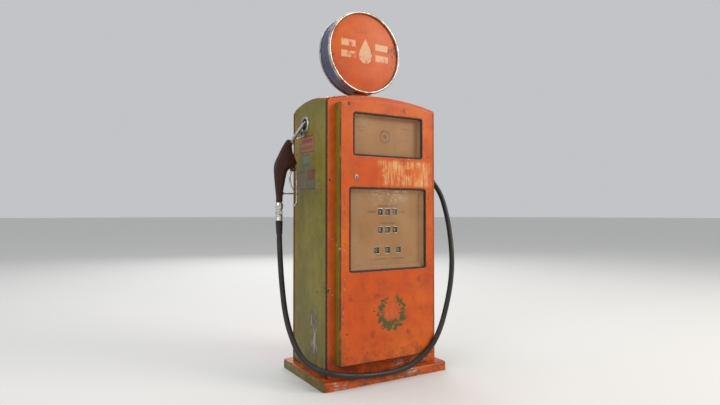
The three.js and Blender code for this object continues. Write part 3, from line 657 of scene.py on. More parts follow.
# ---- meshes --------------------------------------------------------------------------------
def new_piece(name, vertices, faces, material, body="root", slot=None, smooth=40, even=True):
    """A mesh piece that rides on a body. Edges sharper than smooth degrees stay crisp."""
    mesh = bpy.data.meshes.new(name)
    mesh.from_pydata([tuple(v) for v in vertices], [], faces)
    built = bmesh.new()
    built.from_mesh(mesh)
    bmesh.ops.remove_doubles(built, verts=built.verts, dist=1e-6)
    bmesh.ops.dissolve_degenerate(built, edges=built.edges, dist=1e-7)
    bmesh.ops.recalc_face_normals(built, faces=built.faces)
    built.to_mesh(mesh)
    built.free()
    mesh.materials.append(material)
    piece = bpy.data.objects.new(name, mesh)
    bpy.context.scene.collection.objects.link(piece)
    shade(piece, smooth)
    if even:
        even_normals(piece)
    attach(piece, body)
    return piece


def shade(piece, degrees):
    mesh = piece.data
    mesh.polygons.foreach_set("use_smooth", [True] * len(mesh.polygons))
    mesh.set_sharp_from_angle(angle=math.radians(degrees))


def even_normals(piece):
    """Keep broad flat faces looking flat right up to their rounded edges."""
    even = piece.modifiers.new("even_normals", "WEIGHTED_NORMAL")
    even.keep_sharp = True


class Parts:
    """Vertices and faces gathered from several closed shapes into one piece."""

    def __init__(self):
        self.vertices = []
        self.faces = []

    def add(self, vertices, faces, matrix=None):
        start = len(self.vertices)
        matrix = matrix or Matrix.Identity(4)
        self.vertices += [matrix @ Vector(v) for v in vertices]
        self.faces += [tuple(start + i for i in face) for face in faces]

    def piece(self, name, material, **settings):
        return new_piece(name, self.vertices, self.faces, material, **settings)


def mm(*points):
    """Points given in millimetres, in metres."""
    return [tuple(c * MM for c in point) for point in points]


def rings_to_faces(count, sides, closed_ends=True, loop=False):
    faces = []
    for r in range(count if loop else count - 1):
        low, high = r * sides, ((r + 1) % count) * sides
        for s in range(sides):
            t = (s + 1) % sides
            faces.append((low + s, low + t, high + t, high + s))
    if closed_ends and not loop:
        faces.append(tuple(reversed(range(sides))))
        faces.append(tuple(range((count - 1) * sides, count * sides)))
    return faces


def around(count, start=0.0):
    """Cosine and sine of evenly spaced angles round a circle. Start is in steps."""
    angles = [TAU * (i + start) / count for i in range(count)]
    return [(math.cos(angle), math.sin(angle)) for angle in angles]


def turned(profile, sides=64, loop=False):
    """A profile of (radius, height) points spun about Z. A loop joins its last point to its first."""
    vertices = [(radius * c, radius * s, height) for radius, height in profile for c, s in around(sides)]
    return vertices, rings_to_faces(len(profile), sides, not loop, loop)


def rounded_profile(points, radius, steps=4):
    """The same profile with its inner corners rounded."""
    result = [points[0]]
    for before, corner, after in zip(points, points[1:], points[2:]):
        p, a, b = (Vector(corner), Vector(before), Vector(after))
        reach = min(radius, 0.45 * (a - p).length, 0.45 * (b - p).length)
        start, end = p + (a - p).normalized() * reach, p + (b - p).normalized() * reach
        for i in range(steps + 1):
            t = i / steps
            q = start * (1 - t) ** 2 + p * (2 * t * (1 - t)) + end * t * t
            result.append((q.x, q.y))
    result.append(points[-1])
    return result


def pin(radius, low, high, edge, sides=24, steps=4):
    """A round bar along Z from low to high, with rounded ends."""
    bar = [(0, low), (radius, low), (radius, high), (0, high)]
    return turned(rounded_profile(bar, edge, steps), sides)


def placed(shape, matrix):
    vertices, faces = shape
    return [matrix @ Vector(v) for v in vertices], faces


def along(direction, at):
    """A matrix that turns +Z to a direction and moves the origin to a point."""
    turn = Vector((0, 0, 1)).rotation_difference(Vector(direction).normalized())
    return Matrix.Translation(Vector(at)) @ turn.to_matrix().to_4x4()


def smooth_path(points, samples):
    """Evenly spaced points on a centripetal spline through the given points."""
    points = [Vector(p) for p in points]
    padded = [points[0] * 2 - points[1], *points, points[-1] * 2 - points[-2]]
    dense = []
    for a, b, c, d in zip(padded, padded[1:], padded[2:], padded[3:]):
        t1 = (b - a).length ** 0.5
        t2 = t1 + (c - b).length ** 0.5
        t3 = t2 + (d - c).length ** 0.5
        for i in range(24):
            t = t1 + (t2 - t1) * i / 24
            a1 = a * ((t1 - t) / t1) + b * (t / t1)
            a2 = b * ((t2 - t) / (t2 - t1)) + c * ((t - t1) / (t2 - t1))
            a3 = c * ((t3 - t) / (t3 - t2)) + d * ((t - t2) / (t3 - t2))
            b1 = a1 * ((t2 - t) / t2) + a2 * (t / t2)
            b2 = a2 * ((t3 - t) / (t3 - t1)) + a3 * ((t - t1) / (t3 - t1))
            dense.append(b1 * ((t2 - t) / (t2 - t1)) + b2 * ((t - t1) / (t2 - t1)))
    dense.append(points[-1].copy())
    lengths = [0.0]
    for a, b in zip(dense, dense[1:]):
        lengths.append(lengths[-1] + (b - a).length)
    result, k = [], 0
    for i in range(samples):
        want = lengths[-1] * i / (samples - 1)
        while k < len(lengths) - 2 and lengths[k + 1] < want:
            k += 1
        span = max(lengths[k + 1] - lengths[k], 1e-12)
        result.append(dense[k].lerp(dense[k + 1], (want - lengths[k]) / span))
    return result, lengths[-1]


def swept(path, radius, sides=20):
    """A tube round a path. Radius is a number or a function of the share of the length."""
    vertices = []
    tangent = (path[1] - path[0]).normalized()
    normal = tangent.orthogonal().normalized()
    for i, point in enumerate(path):
        ahead = path[min(i + 1, len(path) - 1)] - path[max(i - 1, 0)]
        new_tangent = ahead.normalized()
        normal = tangent.rotation_difference(new_tangent) @ normal
        tangent = new_tangent
        normal = (normal - tangent * normal.dot(tangent)).normalized()
        other = tangent.cross(normal)
        share = i / (len(path) - 1)
        r = radius(share) if callable(radius) else radius
        for s in range(sides):
            angle = TAU * s / sides
            vertices.append(point + normal * (r * math.cos(angle)) + other * (r * math.sin(angle)))
    return vertices, rings_to_faces(len(path), sides)


def rounded_rectangle(x0, x1, z0, z1, radius, steps=6):
    points = []
    corners = [(x1 - radius, z0 + radius, -90), (x1 - radius, z1 - radius, 0),
               (x0 + radius, z1 - radius, 90), (x0 + radius, z0 + radius, 180)]
    for x, z, start in corners:
        for i in range(steps + 1):
            angle = math.radians(start + 90 * i / steps)
            points.append((x + radius * math.cos(angle), z + radius * math.sin(angle)))
    return points


def bend(start, corner, end, steps=6):
    """Points of a curve from start to end that is drawn towards the corner."""
    points = []
    for i in range(steps + 1):
        t = i / steps
        shares = ((1 - t) ** 2, 2 * t * (1 - t), t * t)
        points.append(tuple(sum(s * p[k] for s, p in zip(shares, (start, corner, end))) for k in (0, 1)))
    return points


def arched_outline(left, right, foot, head, corner, steps=36, foot_corner=0.0):
    """Counterclockwise outline with a crowned head, whose corners are rounded."""
    points = []
    if foot_corner:
        for x, start in ((left + foot_corner, 180), (right - foot_corner, 270)):
            for i in range(6):
                angle = math.radians(start + 90 * i / 5)
                z = foot + foot_corner * (1 + math.sin(angle))
                points.append((x + foot_corner * math.cos(angle), z))
    else:
        points += [(left, foot), (right, foot)]
    top = head(right)
    points += bend((right, top - corner), (right, top), (right - corner, head(right - corner)))
    for i in range(1, steps):
        u = right - corner - (right - left - 2 * corner) * i / steps
        points.append((u, head(u)))
    top = head(left)
    points += bend((left + corner, head(left + corner)), (left, top), (left, top - corner))
    return points


def inset(outline, distance):
    """The outline moved inwards by a distance, vertex by vertex. Outlines run counterclockwise."""
    result = []
    count = len(outline)
    for i, (x, z) in enumerate(outline):
        before, after = outline[i - 1], outline[(i + 1) % count]
        a = Vector((x - before[0], z - before[1]))
        b = Vector((after[0] - x, after[1] - z))
        if a.length < 1e-9:
            a = b
        if b.length < 1e-9:
            b = a
        a.normalize()
        b.normalize()
        normal = Vector((-a.y - b.y, a.x + b.x))
        if normal.length < 1e-6:
            normal = Vector((-a.y, a.x))
        normal.normalize()
        turn = max(0.5, normal.dot(Vector((-a.y, a.x))))
        result.append((x + normal.x * distance / turn, z + normal.y * distance / turn))
    return result


def front_arch(x):
    return SHOULDER + CROWN_FRONT * (1 - (x / HALF) ** 2)


def door_head(x):
    return front_arch(x) - DOOR_BELOW_CROWN


def side_arch(y):
    return SHOULDER + CROWN_SIDE * (1 - ((y - MIDDLE_Y) / HALF_DEPTH) ** 2)


def roof_height(x, y):
    return front_arch(x) + side_arch(y) - SHOULDER


def inside(outline, x, z):
    hit = False
    for (x0, z0), (x1, z1) in zip(outline, outline[1:] + outline[:1]):
        if (z0 > z) != (z1 > z) and x < (x1 - x0) * (z - z0) / (z1 - z0) + x0:
            hit = not hit
    return hit


def face_fill(outline, holes, spacing):
    """Points and triangles that fill an outline round its holes, fine enough to be dented."""
    loops = [outline, *holes]
    points, edges = [], []
    for loop in loops:
        start = len(points)
        points += [Vector(p) for p in loop]
        edges += [(start + i, start + (i + 1) % len(loop)) for i in range(len(loop))]
    xs, zs = [p[0] for p in outline], [p[1] for p in outline]
    margin = spacing * 0.6
    inner = inset(outline, margin)
    grown = [inset(hole, -margin) for hole in holes]
    for i in range(int((max(xs) - min(xs)) / spacing) + 1):
        for k in range(int((max(zs) - min(zs)) / spacing) + 1):
            x, z = min(xs) + (i + 0.5) * spacing, min(zs) + (k + 0.5 * (i % 2)) * spacing
            if inside(inner, x, z) and not any(inside(hole, x, z) for hole in grown):
                points.append(Vector((x, z)))
    made, _, triangles, _, _, _ = delaunay_2d_cdt(points, edges, [], 0, 1e-7)
    kept = []
    for face in triangles:
        x = sum(made[i].x for i in face) / 3
        z = sum(made[i].y for i in face) / 3
        if inside(outline, x, z) and not any(inside(hole, x, z) for hole in holes):
            kept.append(face)
    return made, kept


def pressed_sheet(outline, holes, face_y, back_y, edge, skin, rim, dents=(), spacing=0.012):
    """A pressed panel: a face with a rounded edge, side walls back to back_y and a real inside.

    Holes are rolled inwards to the depth rim. Dents are (x, z, radius, depth). Y grows away
    from the face when back_y is the larger.
    """
    inwards = 1 if back_y > face_y else -1
    parts = Parts()

    def ring(loop, y):
        return [(x, y, z) for x, z in loop]

    def dent(x, z):
        depth = 0.0
        for dx, dz, radius, deep in dents:
            away = ((x - dx) ** 2 + (z - dz) ** 2) / radius ** 2
            depth += deep * math.exp(-2.5 * away)
        return depth

    def band(loops_at):
        count = len(loops_at[0][0])
        vertices = [v for loop, y in loops_at for v in ring(loop, y)]
        parts.add(vertices, rings_to_faces(len(loops_at), count, closed_ends=False))

    steps = 6
    outer_rings = [(outline, back_y), (outline, face_y + inwards * edge)]
    for i in range(1, steps + 1):
        angle = math.pi / 2 * i / steps
        loop = inset(outline, edge * (1 - math.cos(angle)))
        outer_rings.append((loop, face_y + inwards * edge * (1 - math.sin(angle))))
    band(outer_rings)
    inner_outline = inset(outline, skin)
    face_loop = outer_rings[-1][0]
    inner_face_loop = inset(face_loop, skin * 0.5)
    inner_y = face_y + inwards * skin
    inner_rings = [(inner_outline, back_y), (inner_outline, face_y + inwards * (edge + skin))]
    inner_rings.append((inner_face_loop, inner_y))
    band(inner_rings)
    band([(outline, back_y), (inner_outline, back_y)])

    face_holes, inner_holes = [], []
    for hole, roll in holes:
        turn = [math.pi / 2 * i / 5 for i in range(6)]
        grown = [inset(hole, -roll * (1 - math.cos(a))) for a in turn]
        loops = [(loop, face_y + inwards * roll * (1 - math.sin(a))) for loop, a in zip(grown, turn)]
        loops.insert(0, (hole, face_y + inwards * rim))
        loops.insert(0, (inset(hole, -skin), face_y + inwards * rim))
        loops.insert(0, (inset(hole, -skin), inner_y))
        band(loops)
        face_holes.append(grown[5])
        inner_holes.append(inset(hole, -skin))

    points, triangles = face_fill(face_loop, face_holes, spacing)
    parts.add([(p.x, face_y + inwards * dent(p.x, p.y), p.y) for p in points], triangles)
    points, triangles = face_fill(inner_face_loop, inner_holes, spacing * 4)
    parts.add([(p.x, inner_y + inwards * dent(p.x, p.y), p.y) for p in points], triangles)
    return parts


def plate(outline, holes, y0, y1, edge, steps=3, spacing=0.05):
    """A closed flat plate between y0 and y1, with rounded edges round its outline and holes."""
    parts = Parts()
    faces_at = {y0: [], y1: []}
    for loop, side in [(outline, 1)] + [(hole, -1) for hole in holes]:
        rings = []
        for y, inwards in ((y0, 1), (y1, -1)):
            part = []
            for i in range(steps + 1):
                a = math.pi / 2 * i / steps
                shrunk = inset(loop, side * edge * (1 - math.sin(a)))
                part.append((shrunk, y + inwards * edge * (1 - math.cos(a))))
            rings += part if inwards == 1 else part[::-1]
        vertices = [(x, y, z) for ring, y in rings for x, z in ring]
        parts.add(vertices, rings_to_faces(len(rings), len(loop), closed_ends=False))
        faces_at[y0].append(rings[0][0])
        faces_at[y1].append(rings[-1][0])
    for y, loops in faces_at.items():
        points, triangles = face_fill(loops[0], loops[1:], spacing)
        parts.add([(p.x, y, p.y) for p in points], triangles)
    return parts


def ring_of(outline, profile):
    """A closed profile of (inset, y) points carried round an outline."""
    vertices = []
    for distance, y in profile:
        vertices += [(x, y, z) for x, z in inset(outline, distance)]
    return vertices, rings_to_faces(len(profile), len(outline), loop=True)


def circle(x, z, radius, sides=48):
    return [(x + radius * c, z + radius * s) for c, s in around(sides)]


def soft_box(low, high, edge):
    """A box with rounded edges, as closed rings along Z."""
    (x0, y0, z0), (x1, y1, z1) = low, high
    edge = min(edge, 0.45 * (x1 - x0), 0.45 * (y1 - y0), 0.45 * (z1 - z0))
    outline = rounded_rectangle(x0, x1, y0, y1, edge, 3)
    vertices, count = [], 0
    for z, inwards in ((z0, 1), (z1, -1)):
        steps = [0, 1, 2, 3] if inwards == 1 else [3, 2, 1, 0]
        for i in steps:
            a = math.pi / 2 * i / 3
            loop = inset(outline, edge * 0.98 * (1 - math.sin(a)))
            vertices += [(x, y, z + inwards * edge * (1 - math.cos(a))) for x, y in loop]
            count += 1
    return vertices, rings_to_faces(count, len(outline))


def screw(parts, at, direction, radius=0.005):
    """A slotted round head standing on a surface."""
    profile = [(0, -0.4), (1, -0.4), (1, 0.15), (0.8, 0.42), (0.4, 0.56), (0, 0.6)]
    profile = [(r * radius, h * radius) for r, h in profile]
    parts.add(*turned(profile, 20), along(direction, at))


def hex_nut(parts, at, direction, across, height):
    """A hexagon nut with chamfered corners."""
    corner = across / math.sqrt(3)
    profile = [(corner * r, height * h) for r, h in ((0.88, 0), (1, 0.14), (1, 0.86), (0.88, 1))]
    parts.add(*turned(profile, 6), along(direction, at))


# The strap's section: shares of half its width, and of half its thickness.
STRAP = ((-1, -1), (-0.9, -1.3), (0.9, -1.3), (1, -1), (1, 1), (0.9, 1.3), (-0.9, 1.3), (-1, 1))


def strap(path, width, thickness):
    """A bent flat bar that follows a path in the XZ plane, width across Y."""
    vertices = []
    for i, p in enumerate(path):
        t = (path[min(i + 1, len(path) - 1)] - path[max(i - 1, 0)]).normalized()
        n = Vector((-t.z, 0, t.x))
        for a, b in STRAP:
            vertices.append(p + Vector((0, a * width / 2, 0)) + n * (b * thickness / 2))
    return vertices, rings_to_faces(len(path), len(STRAP))


# ---- the hose ------------------------------------------------------------------------------
HOSE_ROUTE = [
    (-477, 56, 811.7), (-476, 56, 760), (-474, 56, 690), (-470, 56, 610), (-465, 54, 525),
    (-459, 48, 440), (-453, 34, 355), (-448, 3, 281), (-441, -40, 217), (-434, -88, 169),
    (-424, -139, 136), (-408, -187, 117), (-384, -225, 103), (-351, -251, 92), (-306, -265, 80),
    (-250, -270, 68), (-183, -270, 58), (-110, -268.5, 50), (-30, -268.5, 47.5), (45, -268.5, 51),
    (113, -268.5, 64), (170, -268.5, 87), (215, -269, 114), (257, -269, 149), (295, -266, 194),
    (332, -259, 251), (367, -249, 320), (402, -236, 402), (433, -220, 490), (458, -198, 595),
    (474, -166, 715), (478, -128, 845), (470, -84, 960), (444, -48, 1030), (411.85, -12.4, 1081.67),
]
OUTLET = [Vector(p) * MM for p in ((336, 20, 1150), (356, 20, 1149), (374, 19, 1137), (388, 14, 1120))]


def make_hose(mats, swivel):
    route = [Vector(p) * MM for p in reversed(HOSE_ROUTE)]
    path, length = smooth_path(route, 520)
    look = {"slot": "black_rubber", "smooth": 60, "even": False}
    hose = new_piece("fuel_hose", *swept(path, HOSE_DIAMETER / 2, 28), mats["hose"], **look)
    hose.parent = None
    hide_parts("hose")
    guards = []
    for name, start, step in (("hose_guard_outlet", 0, 1), ("hose_guard_nozzle", len(path) - 1, -1)):
        line = [path[start + step * i] for i in range(15)]
        fine, _ = smooth_path(line, 90)

        def ribbed(share):
            body_radius = 0.0188 - 0.0030 * share
            return body_radius + 0.0009 * math.sin(TAU * share * 11)

        guards.append(new_piece(name, *swept(fine, ribbed, 28), mats["rubber"], **look))
    guards[1].parent = None
    for piece in (hose, guards[1]):
        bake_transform(piece)


# ---- cabinet -------------------------------------------------------------------------------
def make_base(mats):
    edge = 0.010
    outline = rounded_rectangle(base_low.x, base_high.x, base_low.y, base_high.y, 0.026, 8)
    dents = [(0.30, -0.235, 0.035, 0.0012), (-0.22, -0.240, 0.03, 0.001), (-0.352, 0.05, 0.03, 0.0012)]
    parts = pressed_sheet(outline, [], -base_high.z, 0.0, edge, 0.004, 0.01, dents, 0.02)
    flat = Parts()
    turn = Matrix(((1, 0, 0, 0), (0, 0, 1, 0), (0, -1, 0, 0), (0, 0, 0, 1)))
    flat.add(parts.vertices, parts.faces, turn)
    base = flat.piece("base_pan", mats["base"], slot="orange_paint")
    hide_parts("base_plinth")


def frame_shape(outer_y, face_y, rib_y):
    """A face frame: its broad face and the rib behind, both open in the middle."""
    foot = base_high.z + 0.0003
    mouth = arched_outline(-0.278, 0.278, 0.114, lambda x: front_arch(x) - 0.036, 0.010)
    outer = arched_outline(-HALF, HALF, foot, front_arch, 0.016)
    rib = arched_outline(-0.320, 0.320, foot, lambda x: front_arch(x) - 0.003, 0.012)
    parts = plate(outer, [mouth], *sorted((outer_y, face_y)), 0.0032)
    return parts, plate(rib, [mouth], *sorted((face_y, rib_y)), 0.002)


def make_frames(mats):
    for end, outer_y, face_y, rib_y in (("front", frame_low.y, frame_low.y + 0.008, frame_high.y),
                                        ("rear", rear_high.y, rear_high.y - 0.008, rear_low.y)):
        face, rib = frame_shape(outer_y, face_y, rib_y)
        piece = face.piece(end + "_face_frame", mats["frame"], slot="orange_paint")
        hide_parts(end + "_frame")
        rib.piece(end + "_frame_rib", mats["frame"], slot="orange_paint")


def make_sides(mats):
    corner = 0.014
    outline = arched_outline(side_low.y, side_high.y, side_low.z, side_arch, corner)
    across = Matrix(((0, 1, 0, 0), (1, 0, 0, 0), (0, 0, 1, 0), (0, 0, 0, 1)))
    dents = [(-0.02, 0.22, 0.05, 0.0022), (0.12, 0.58, 0.06, 0.0014), (-0.10, 0.80, 0.04, 0.0010),
             (0.10, 0.13, 0.04, 0.0014)]
    for name, x, inwards, hole in (("left_side", -HALF, 1, circle(BOOT_Y, BOOT_Z, 0.0365)),
                                   ("right_side", HALF, -1, circle(0.020, 1.150, 0.0165))):
        back = x + inwards * 0.0085
        parts = pressed_sheet(outline, [(hole, 0.0015)], x, back, 0.006, 0.002, 0.003, dents, 0.016)
        turned_parts = Parts()
        turned_parts.add(parts.vertices, parts.faces, across)
        # The sheet's faces to the sides show the enamel's painted shade in the OLIVE colours.
        piece = turned_parts.piece(name + "_sheet", mats["side"], slot="olive_paint")
        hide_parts(name + "_panel")


def make_roof(mats):
    low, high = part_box("roof_panel")
    columns, rows, skin = 60, 40, 0.003
    vertices, faces = [], []
    margin = [0.0, 0.0006, 0.0022, 0.005]
    drop = [0.0034, 0.0016, 0.0004, 0.0]

    def stations(a, b, count):
        inner = [a + margin[3] + (b - a - 2 * margin[3]) * i / (count - 1) for i in range(count)]
        return [a + m for m in margin[:3]] + inner + [b - m for m in margin[:3]][::-1]

    def edge_drop(v, a, b):
        away = min(v - a, b - v)
        for m, m2, d, d2 in zip(margin, margin[1:], drop, drop[1:]):
            if m <= away + 1e-9 < m2:
                return d + (d2 - d) * (away - m) / (m2 - m)
        return 0.0

    xs, ys = stations(low.x, high.x, columns), stations(low.y, high.y, rows)
    for lowered in (0.0, skin):
        for y in ys:
            for x in xs:
                fall = 0.0006
                if not lowered:
                    fall = max(edge_drop(x, low.x, high.x), edge_drop(y, low.y, high.y))
                vertices.append((x, y, roof_height(x, y) - lowered - fall))
    nx, ny = len(xs), len(ys)
    for layer in (0, nx * ny):
        for j in range(ny - 1):
            for i in range(nx - 1):
                a = layer + j * nx + i
                faces.append((a, a + 1, a + nx + 1, a + nx))
    border = list(range(nx)) + [j * nx + nx - 1 for j in range(1, ny)]
    border += [(ny - 1) * nx + i for i in range(nx - 2, -1, -1)] + [j * nx for j in range(ny - 2, 0, -1)]
    for a, b in zip(border, border[1:] + border[:1]):
        faces.append((a, b, b + nx * ny, a + nx * ny))
    roof = new_piece("domed_roof", vertices, faces, mats["enamel"], slot="orange_paint")
    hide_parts("roof_panel")


# Each window's opening, its glass, the card behind it, its surround's slope, and the card's depth.
WINDOWS = {
    "upper": ((-0.211, 0.211, 1.137, 1.352), "glass_high", "sign", 0.010, sign_low.y),
    "lower": ((-0.233, 0.233, 0.560, 0.979), "glass_low", "dial", 0.024, dial_low.y),
}


def make_door(mats):
    outline = arched_outline(panel_low.x, panel_high.x, panel_low.z, door_head, 0.012, 40, 0.008)
    holes = [(rounded_rectangle(*WINDOWS[w][0], 0.012), 0.0035) for w in ("upper", "lower")]
    holes.append((circle(LOCK_X, LOCK_Z, 0.0096, 32), 0.0006))
    dents = [(0.105, 0.235, 0.030, 0.0016), (-0.19, 0.30, 0.022, 0.0012), (0.20, 0.47, 0.020, 0.0013),
             (-0.235, 1.385, 0.016, 0.0022), (-0.05, 0.50, 0.05, 0.0010), (0.10, 1.06, 0.035, 0.0013),
             (0.02, 1.03, 0.025, 0.0012), (-0.255, 0.85, 0.018, 0.0012), (0.22, 1.04, 0.022, 0.0014),
             (-0.10, 0.18, 0.030, 0.0012), (0.235, 0.20, 0.028, 0.0016), (-0.262, 0.52, 0.016, 0.0010)]
    parts = pressed_sheet(outline, holes, panel_low.y, panel_high.y, 0.010, 0.003, 0.011, dents)
    door = parts.piece("front_door_pressing", mats["door"], slot="orange_paint")
    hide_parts("front_panel")


# The window seal's section: distance in from the opening's edge, and depth behind the door's face.
SEAL = mm((0.4, 9), (0.4, -0.2), (1.4, -1.4), (3, -1.9), (4.6, -1.4), (5.8, 0.4), (6.2, 3), (8.2, 3.4),
          (8.2, 8.5), (6.2, 9.8))


def make_windows(mats):
    for name, (edges, glass, card, slope, back_y) in WINDOWS.items():
        outline = rounded_rectangle(*edges, 0.012, 8)
        face = panel_low.y
        seal = ring_of(outline, [(across, face + depth) for across, depth in SEAL])
        gasket = new_piece(name + "_window_seal", *seal, mats["rubber"], slot="black_rubber")
        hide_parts(name + "_window_gasket")
        pane = plate(inset(outline, 0.0066), [], face + 0.0032, face + 0.0070, 0.0006, 2, 0.1)
        pane = pane.piece(name + "_window_pane", mats[glass], slot="window_glass")
        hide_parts(name + "_window_glass")
        near, far = face + 0.0115, back_y - 0.0004
        surround = [(-0.0020, near), (0.0010, near), (slope, far - 0.0022), (slope + 0.0012, far - 0.0012),
                    (slope + 0.0012, far), (slope - 0.002, far), (-0.0020, near + 0.003)]
        new_piece(name + "_window_surround", *ring_of(outline, surround), mats[card], slot="cream_enamel",
                  smooth=30)


ROW_PLACES = ((0.857, 0.045), (0.765, 0.045), (0.661, 0.068))
SLOTS = [(0.010 + i * pitch, z) for z, pitch in ROW_PLACES for i in (-1, 0, 1)]
ROWS = [f"{row}_wheel_{i}" for row in ("sale", "volume", "price") for i in (1, 2, 3)]


def make_dial(mats):
    outline = rounded_rectangle(dial_low.x, dial_high.x, dial_low.z, dial_high.z, 0.004, 3)
    holes = [rounded_rectangle(x - 0.013, x + 0.013, z - 0.0155, z + 0.0155, 0.0015, 2) for x, z in SLOTS]
    face = plate(outline, holes, dial_low.y, dial_high.y, 0.0004, 2, 0.03)
    dial = face.piece("dial_card", mats["dial"], slot="cream_enamel")
    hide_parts("dial_plate")
    outline = rounded_rectangle(sign_low.x, sign_high.x, sign_low.z, sign_high.z, 0.006, 4)
    face = plate(outline, [], sign_low.y, sign_high.y, 0.0005, 2, 0.05)
    sign = face.piece("sign_card", mats["sign"], slot="cream_enamel")
    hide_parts("sign_panel")
    parts = Parts()
    front = dial_low.y
    for hole in holes:
        bead = mm((0, -0.1), (0.2, -1.0), (1.2, -1.3), (2.2, -0.8), (2.6, 1.6))
        parts.add(*ring_of(inset(hole, -0.0022), [(across, front + depth) for across, depth in bead]))
    parts.piece("counter_frames", mats["steel"], slot="bare_steel")


def digit_mesh(text, size):
    """A numeral's faces as a list of points and polygons, centred on the origin in the XY plane."""
    curve = bpy.data.curves.new("numeral", "FONT")
    curve.body = text
    curve.size = size
    curve.extrude = 0.0003
    curve.resolution_u = 3
    curve.align_x, curve.align_y = "CENTER", "CENTER"
    holder = bpy.data.objects.new("numeral", curve)
    bpy.context.scene.collection.objects.link(holder)
    bpy.context.view_layer.update()
    made = holder.evaluated_get(bpy.context.evaluated_depsgraph_get()).to_mesh()
    points = [v.co.copy() for v in made.vertices]
    faces = [tuple(p.vertices) for p in made.polygons]
    middle = (max(p.y for p in points) + min(p.y for p in points)) / 2
    centre = (max(p.x for p in points) + min(p.x for p in points)) / 2
    points = [Vector((p.x - centre, p.y - middle, p.z)) for p in points]
    bpy.data.objects.remove(holder)
    bpy.data.curves.remove(curve)
    return points, faces


def make_numerals(mats):
    numerals = [digit_mesh(str(i), 0.026) for i in range(10)]
    upright = Matrix.Rotation(math.pi / 2, 4, "X")
    for name in ROWS:
        low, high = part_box(name)
        centre = (low + high) / 2
        radius = (high.z - low.z) / 2 + 0.0001
        parts = Parts()
        for i, (points, faces) in enumerate(numerals):
            turn = Matrix.Rotation(TAU * i / 10, 4, "X")
            place = Matrix.Translation(centre) @ turn @ Matrix.Translation((0, -radius, 0)) @ upright
            parts.add(points, faces, place)
        parts.piece(name + "_numerals", mats["ink"], body=name, slot="counter_black", smooth=30)


def make_lock(mats):
    low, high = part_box("panel_lock")
    centre = (low + high) / 2
    parts = Parts()
    face = low.y
    profile = rounded_profile(mm((0, 21), (8.8, 21), (8.8, 3.5), (12.8, 3.2), (12.8, 1.4), (10, 0.4),
                                 (4.5, 0.4), (4.2, 1), (0, 1)), 0.0006)
    parts.add(*turned(profile, 48), along((0, 1, 0), (centre.x, face, centre.z)))
    lock = parts.piece("door_lock", mats["steel"], body="lock", slot="chrome_trim")
    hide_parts("panel_lock")
    key = Vector((0.0013, 0, 0.0056))
    front = Vector((centre.x, face, centre.z))
    keyway = soft_box(front - key + Vector((0, 0.0001, 0)), front + key + Vector((0, 0.0016, 0)), 0.0005)
    new_piece("lock_keyway", *keyway, mats["counter"], body="lock", slot="counter_black")


def make_rear(mats):
    outline = arched_outline(door_low.x, door_high.x, door_low.z, door_head, 0.012, 40, 0.008)
    dents = [(0.12, 0.40, 0.05, 0.0015), (-0.15, 0.90, 0.06, 0.0013), (0.05, 1.20, 0.04, 0.0012)]
    parts = pressed_sheet(outline, [], door_high.y, door_low.y, 0.009, 0.003, 0.01, dents, 0.016)
    door = parts.piece("rear_door_pressing", mats["enamel"], body="rear_door", slot="orange_paint")
    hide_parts("rear_door")
    for name in ("rear_hinge_lower", "rear_hinge_upper"):
        low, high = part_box(name)
        x, y, z = -0.295, 0.234, (low.z + high.z) / 2
        parts = Parts()
        span = (high.z - low.z) / 3
        for i in range(3):
            foot = low.z + i * span
            parts.add(*pin(0.0055, 0, span - 0.0008, 0.0008), Matrix.Translation((x, y, foot)))
        for at in (low.z - 0.0012, high.z - 0.0008):
            parts.add(*pin(0.0042, 0, 0.002, 0.0008, 20), Matrix.Translation((x, y, at)))
        foot, head = low.z + 0.004, high.z - 0.004
        parts.add(*soft_box((x - 0.024, y - 0.0175, foot), (x - 0.002, y - 0.0145, head), 0.0012))
        parts.add(*soft_box((x - 0.007, y - 0.016, foot), (x - 0.004, y, head), 0.0012))
        for dz in (-0.026, 0.0, 0.026):
            screw(parts, (x - 0.016, y - 0.0145, z + dz), (0, 1, 0), 0.0036)
        hinge = parts.piece(name + "_leaf", mats["steel"], slot="bare_steel")
        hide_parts(name)


